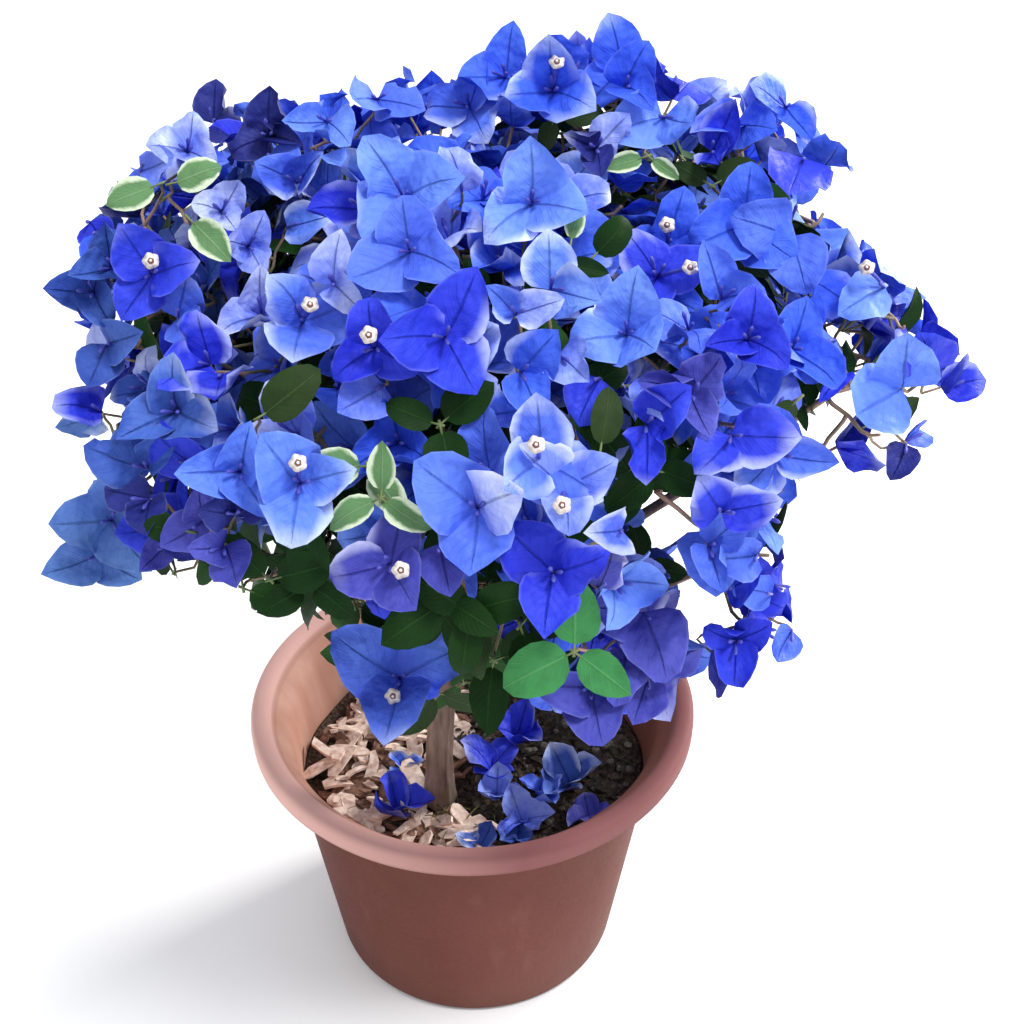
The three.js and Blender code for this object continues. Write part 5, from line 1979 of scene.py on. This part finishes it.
# %% Dry stalks
STALKS = 22
STALK_PLACES = 6
stalk_root = np.stack([draws(STALKS, -22, 14), draws(STALKS, -66, -46)], -1)
stalk_root = np.concatenate([stalk_root, soil_height(*stalk_root.T)[:, None] - 1], 1)
stalk_lean = np.concatenate([draws((STALKS, 2), -1, 1), np.zeros((STALKS, 1))], 1)
stalk_reach = draws((STALKS, 1), 8, 17)
stalk_paths = np.stack([
    stalk_root + (stalk_lean * share ** 1.5 + UP * share * (1.2 - 0.7 * share)) * stalk_reach
    for share in np.linspace(0, 1, STALK_PLACES)
], 1)
stalk_radii = np.tile(np.linspace(0.55, 0.3, STALK_PLACES), (STALKS, 1))
straw_finish = two_tone("dry_stalk", 0.8, 0.2, (84, 92, 48), (128, 122, 78), 300)
make_piece("dry_stalks", *canes(stalk_paths, stalk_radii), straw_finish.material, "soil")

# %% [markdown]
# Eight sprays have dropped onto the soil, with some scraps between them. They lie nearly flat and
# have dried, so the same blade function makes them with strong ripples and rolled rims.

# %% Fallen bracts
FALLEN = [
    ((-42, -48), 0.4, 0.95, "deep"),
    ((-40, -12), 2.1, 0.5, "bright"),
    ((10, -14), 1.2, 0.9, "deep"),
    ((26, 14), 5.3, 0.9, "deep"),
    ((56, -27), 3.4, 1.05, "steel"),
    ((28, -54), 4.4, 0.75, "frosted"),
    ((4, -78), 0.9, 0.65, "steel"),
    ((66, -52), 2.7, 0.6, "violet"),
    ((14, -34), 5.0, 0.7, "frosted"),
    ((40, -40), 1.9, 0.7, "mid"),
    ((26, -70), 3.0, 0.5, "steel"),
]
DROPPED_NODES = 8
FALLEN_RISE = 3.0
FALLEN_TILT = 0.15
FALLEN_WIDTH = 30
fallen_at = np.array([(*place, soil_height(*place) + FALLEN_RISE) for place, *_ in FALLEN])
fallen_turn = np.array([turn for _, turn, _, _ in FALLEN])
fallen_size = np.repeat([size for _, _, size, _ in FALLEN], 3)
fallen_aside = FALLEN_TILT * np.stack([np.cos(fallen_turn), np.sin(fallen_turn)], -1)
fallen_up = unit(np.concatenate([fallen_aside, np.ones((len(FALLEN), 1))], 1))
fallen_hearts, fallen_out, fallen_axes = threes(fallen_at, fallen_up, fallen_turn)
count = len(fallen_hearts)
fallen_points = blades(
    fallen_hearts, fallen_out, fallen_axes,
    length=BRACT_LENGTH * fallen_size * draws(count, 0.85, 1.05),
    width=FALLEN_WIDTH * fallen_size * draws(count, 0.8, 1.0),
    rise=draws(count, 0.15, 0.7),
    bow=draws(count, -0.2, 1.1),
    tip=draws(count, -1.0, 0.4),
    fold=draws(count, 0.0, 0.5),
    cup=draws(count, 0.0, 0.8),
    roll=rolls_of(count, 0.5, 1.8),
    roll_at=draws((count, 2), 0.35, 0.9),
    ripple=draws(count, 0.05, 0.11),
    phase=draws((count, 2), 0, 6.28),
    sway=draws(count, -0.15, 0.15),
    early=0.5, late=0.7,
).reshape(len(FALLEN), 3, -1, 3)
for tint in sorted({row[3] for row in FALLEN}):
    chosen = [i for i, row in enumerate(FALLEN) if row[3] == tint]
    dropped = blade_mesh(fallen_points[chosen].reshape(3 * len(chosen), -1, 3))
    make_piece(f"fallen_{tint}", finish=bract_finishes[tint], slot="blossom",
               replaces=[f"fallen_bracts_{i + 1}" for i in chosen if i < DROPPED_NODES], **dropped)

# %% [markdown]
# The plant stands on a plain pale floor under soft studio light. One lamp stands behind it on the
# right, low enough to pass under the crown onto the soil and the far wall of the pot, as in the
# photograph. Another hangs high in front for the top of the crown, and the pale sky does the rest.

# %% Floor and light
FLOOR_EDGE = 6
floor_corners = [(x * FLOOR_EDGE, y * FLOOR_EDGE, 0) for x, y in ((-1, -1), (1, -1), (1, 1), (-1, 1))]
floor_mesh = bpy.data.meshes.new("floor")
floor_mesh.from_pydata(floor_corners, [], [(0, 1, 2, 3)])
floor = bpy.data.objects.new("floor", floor_mesh)
bpy.context.scene.collection.objects.link(floor)
floor_finish = Finish("pale_floor", 0.8, 0.2)
floor_finish.colour(linear(250, 250, 251))
floor.data.materials.append(floor_finish.material)


def area_light(name, place, target, size, power, colour):
    """A square area light, in metres and watts, turned to face a target."""
    data = bpy.data.lights.new(name, "AREA")
    data.size = size
    data.energy = power
    data.color = colour
    light = bpy.data.objects.new(name, data)
    light.location = place
    light.rotation_euler = (Vector(target) - Vector(place)).to_track_quat("-Z", "Y").to_euler()
    bpy.context.scene.collection.objects.link(light)


area_light("low_key", place=(1.5, 1.15, 1.1), target=(0, 0, 0.2), size=0.5, power=46,
           colour=(1.0, 0.97, 0.93))
area_light("high_key", place=(0.9, -0.7, 2.4), target=(0, 0, 0.35), size=0.6, power=40,
           colour=(1.0, 1.0, 1.0))
world = bpy.data.worlds.new("sky")
world.use_nodes = True
world.node_tree.nodes["Background"].inputs["Color"].default_value = (0.96, 0.98, 1.0, 1)
world.node_tree.nodes["Background"].inputs["Strength"].default_value = 0.95
bpy.context.scene.world = world
bpy.context.scene.view_settings.view_transform = "Standard"
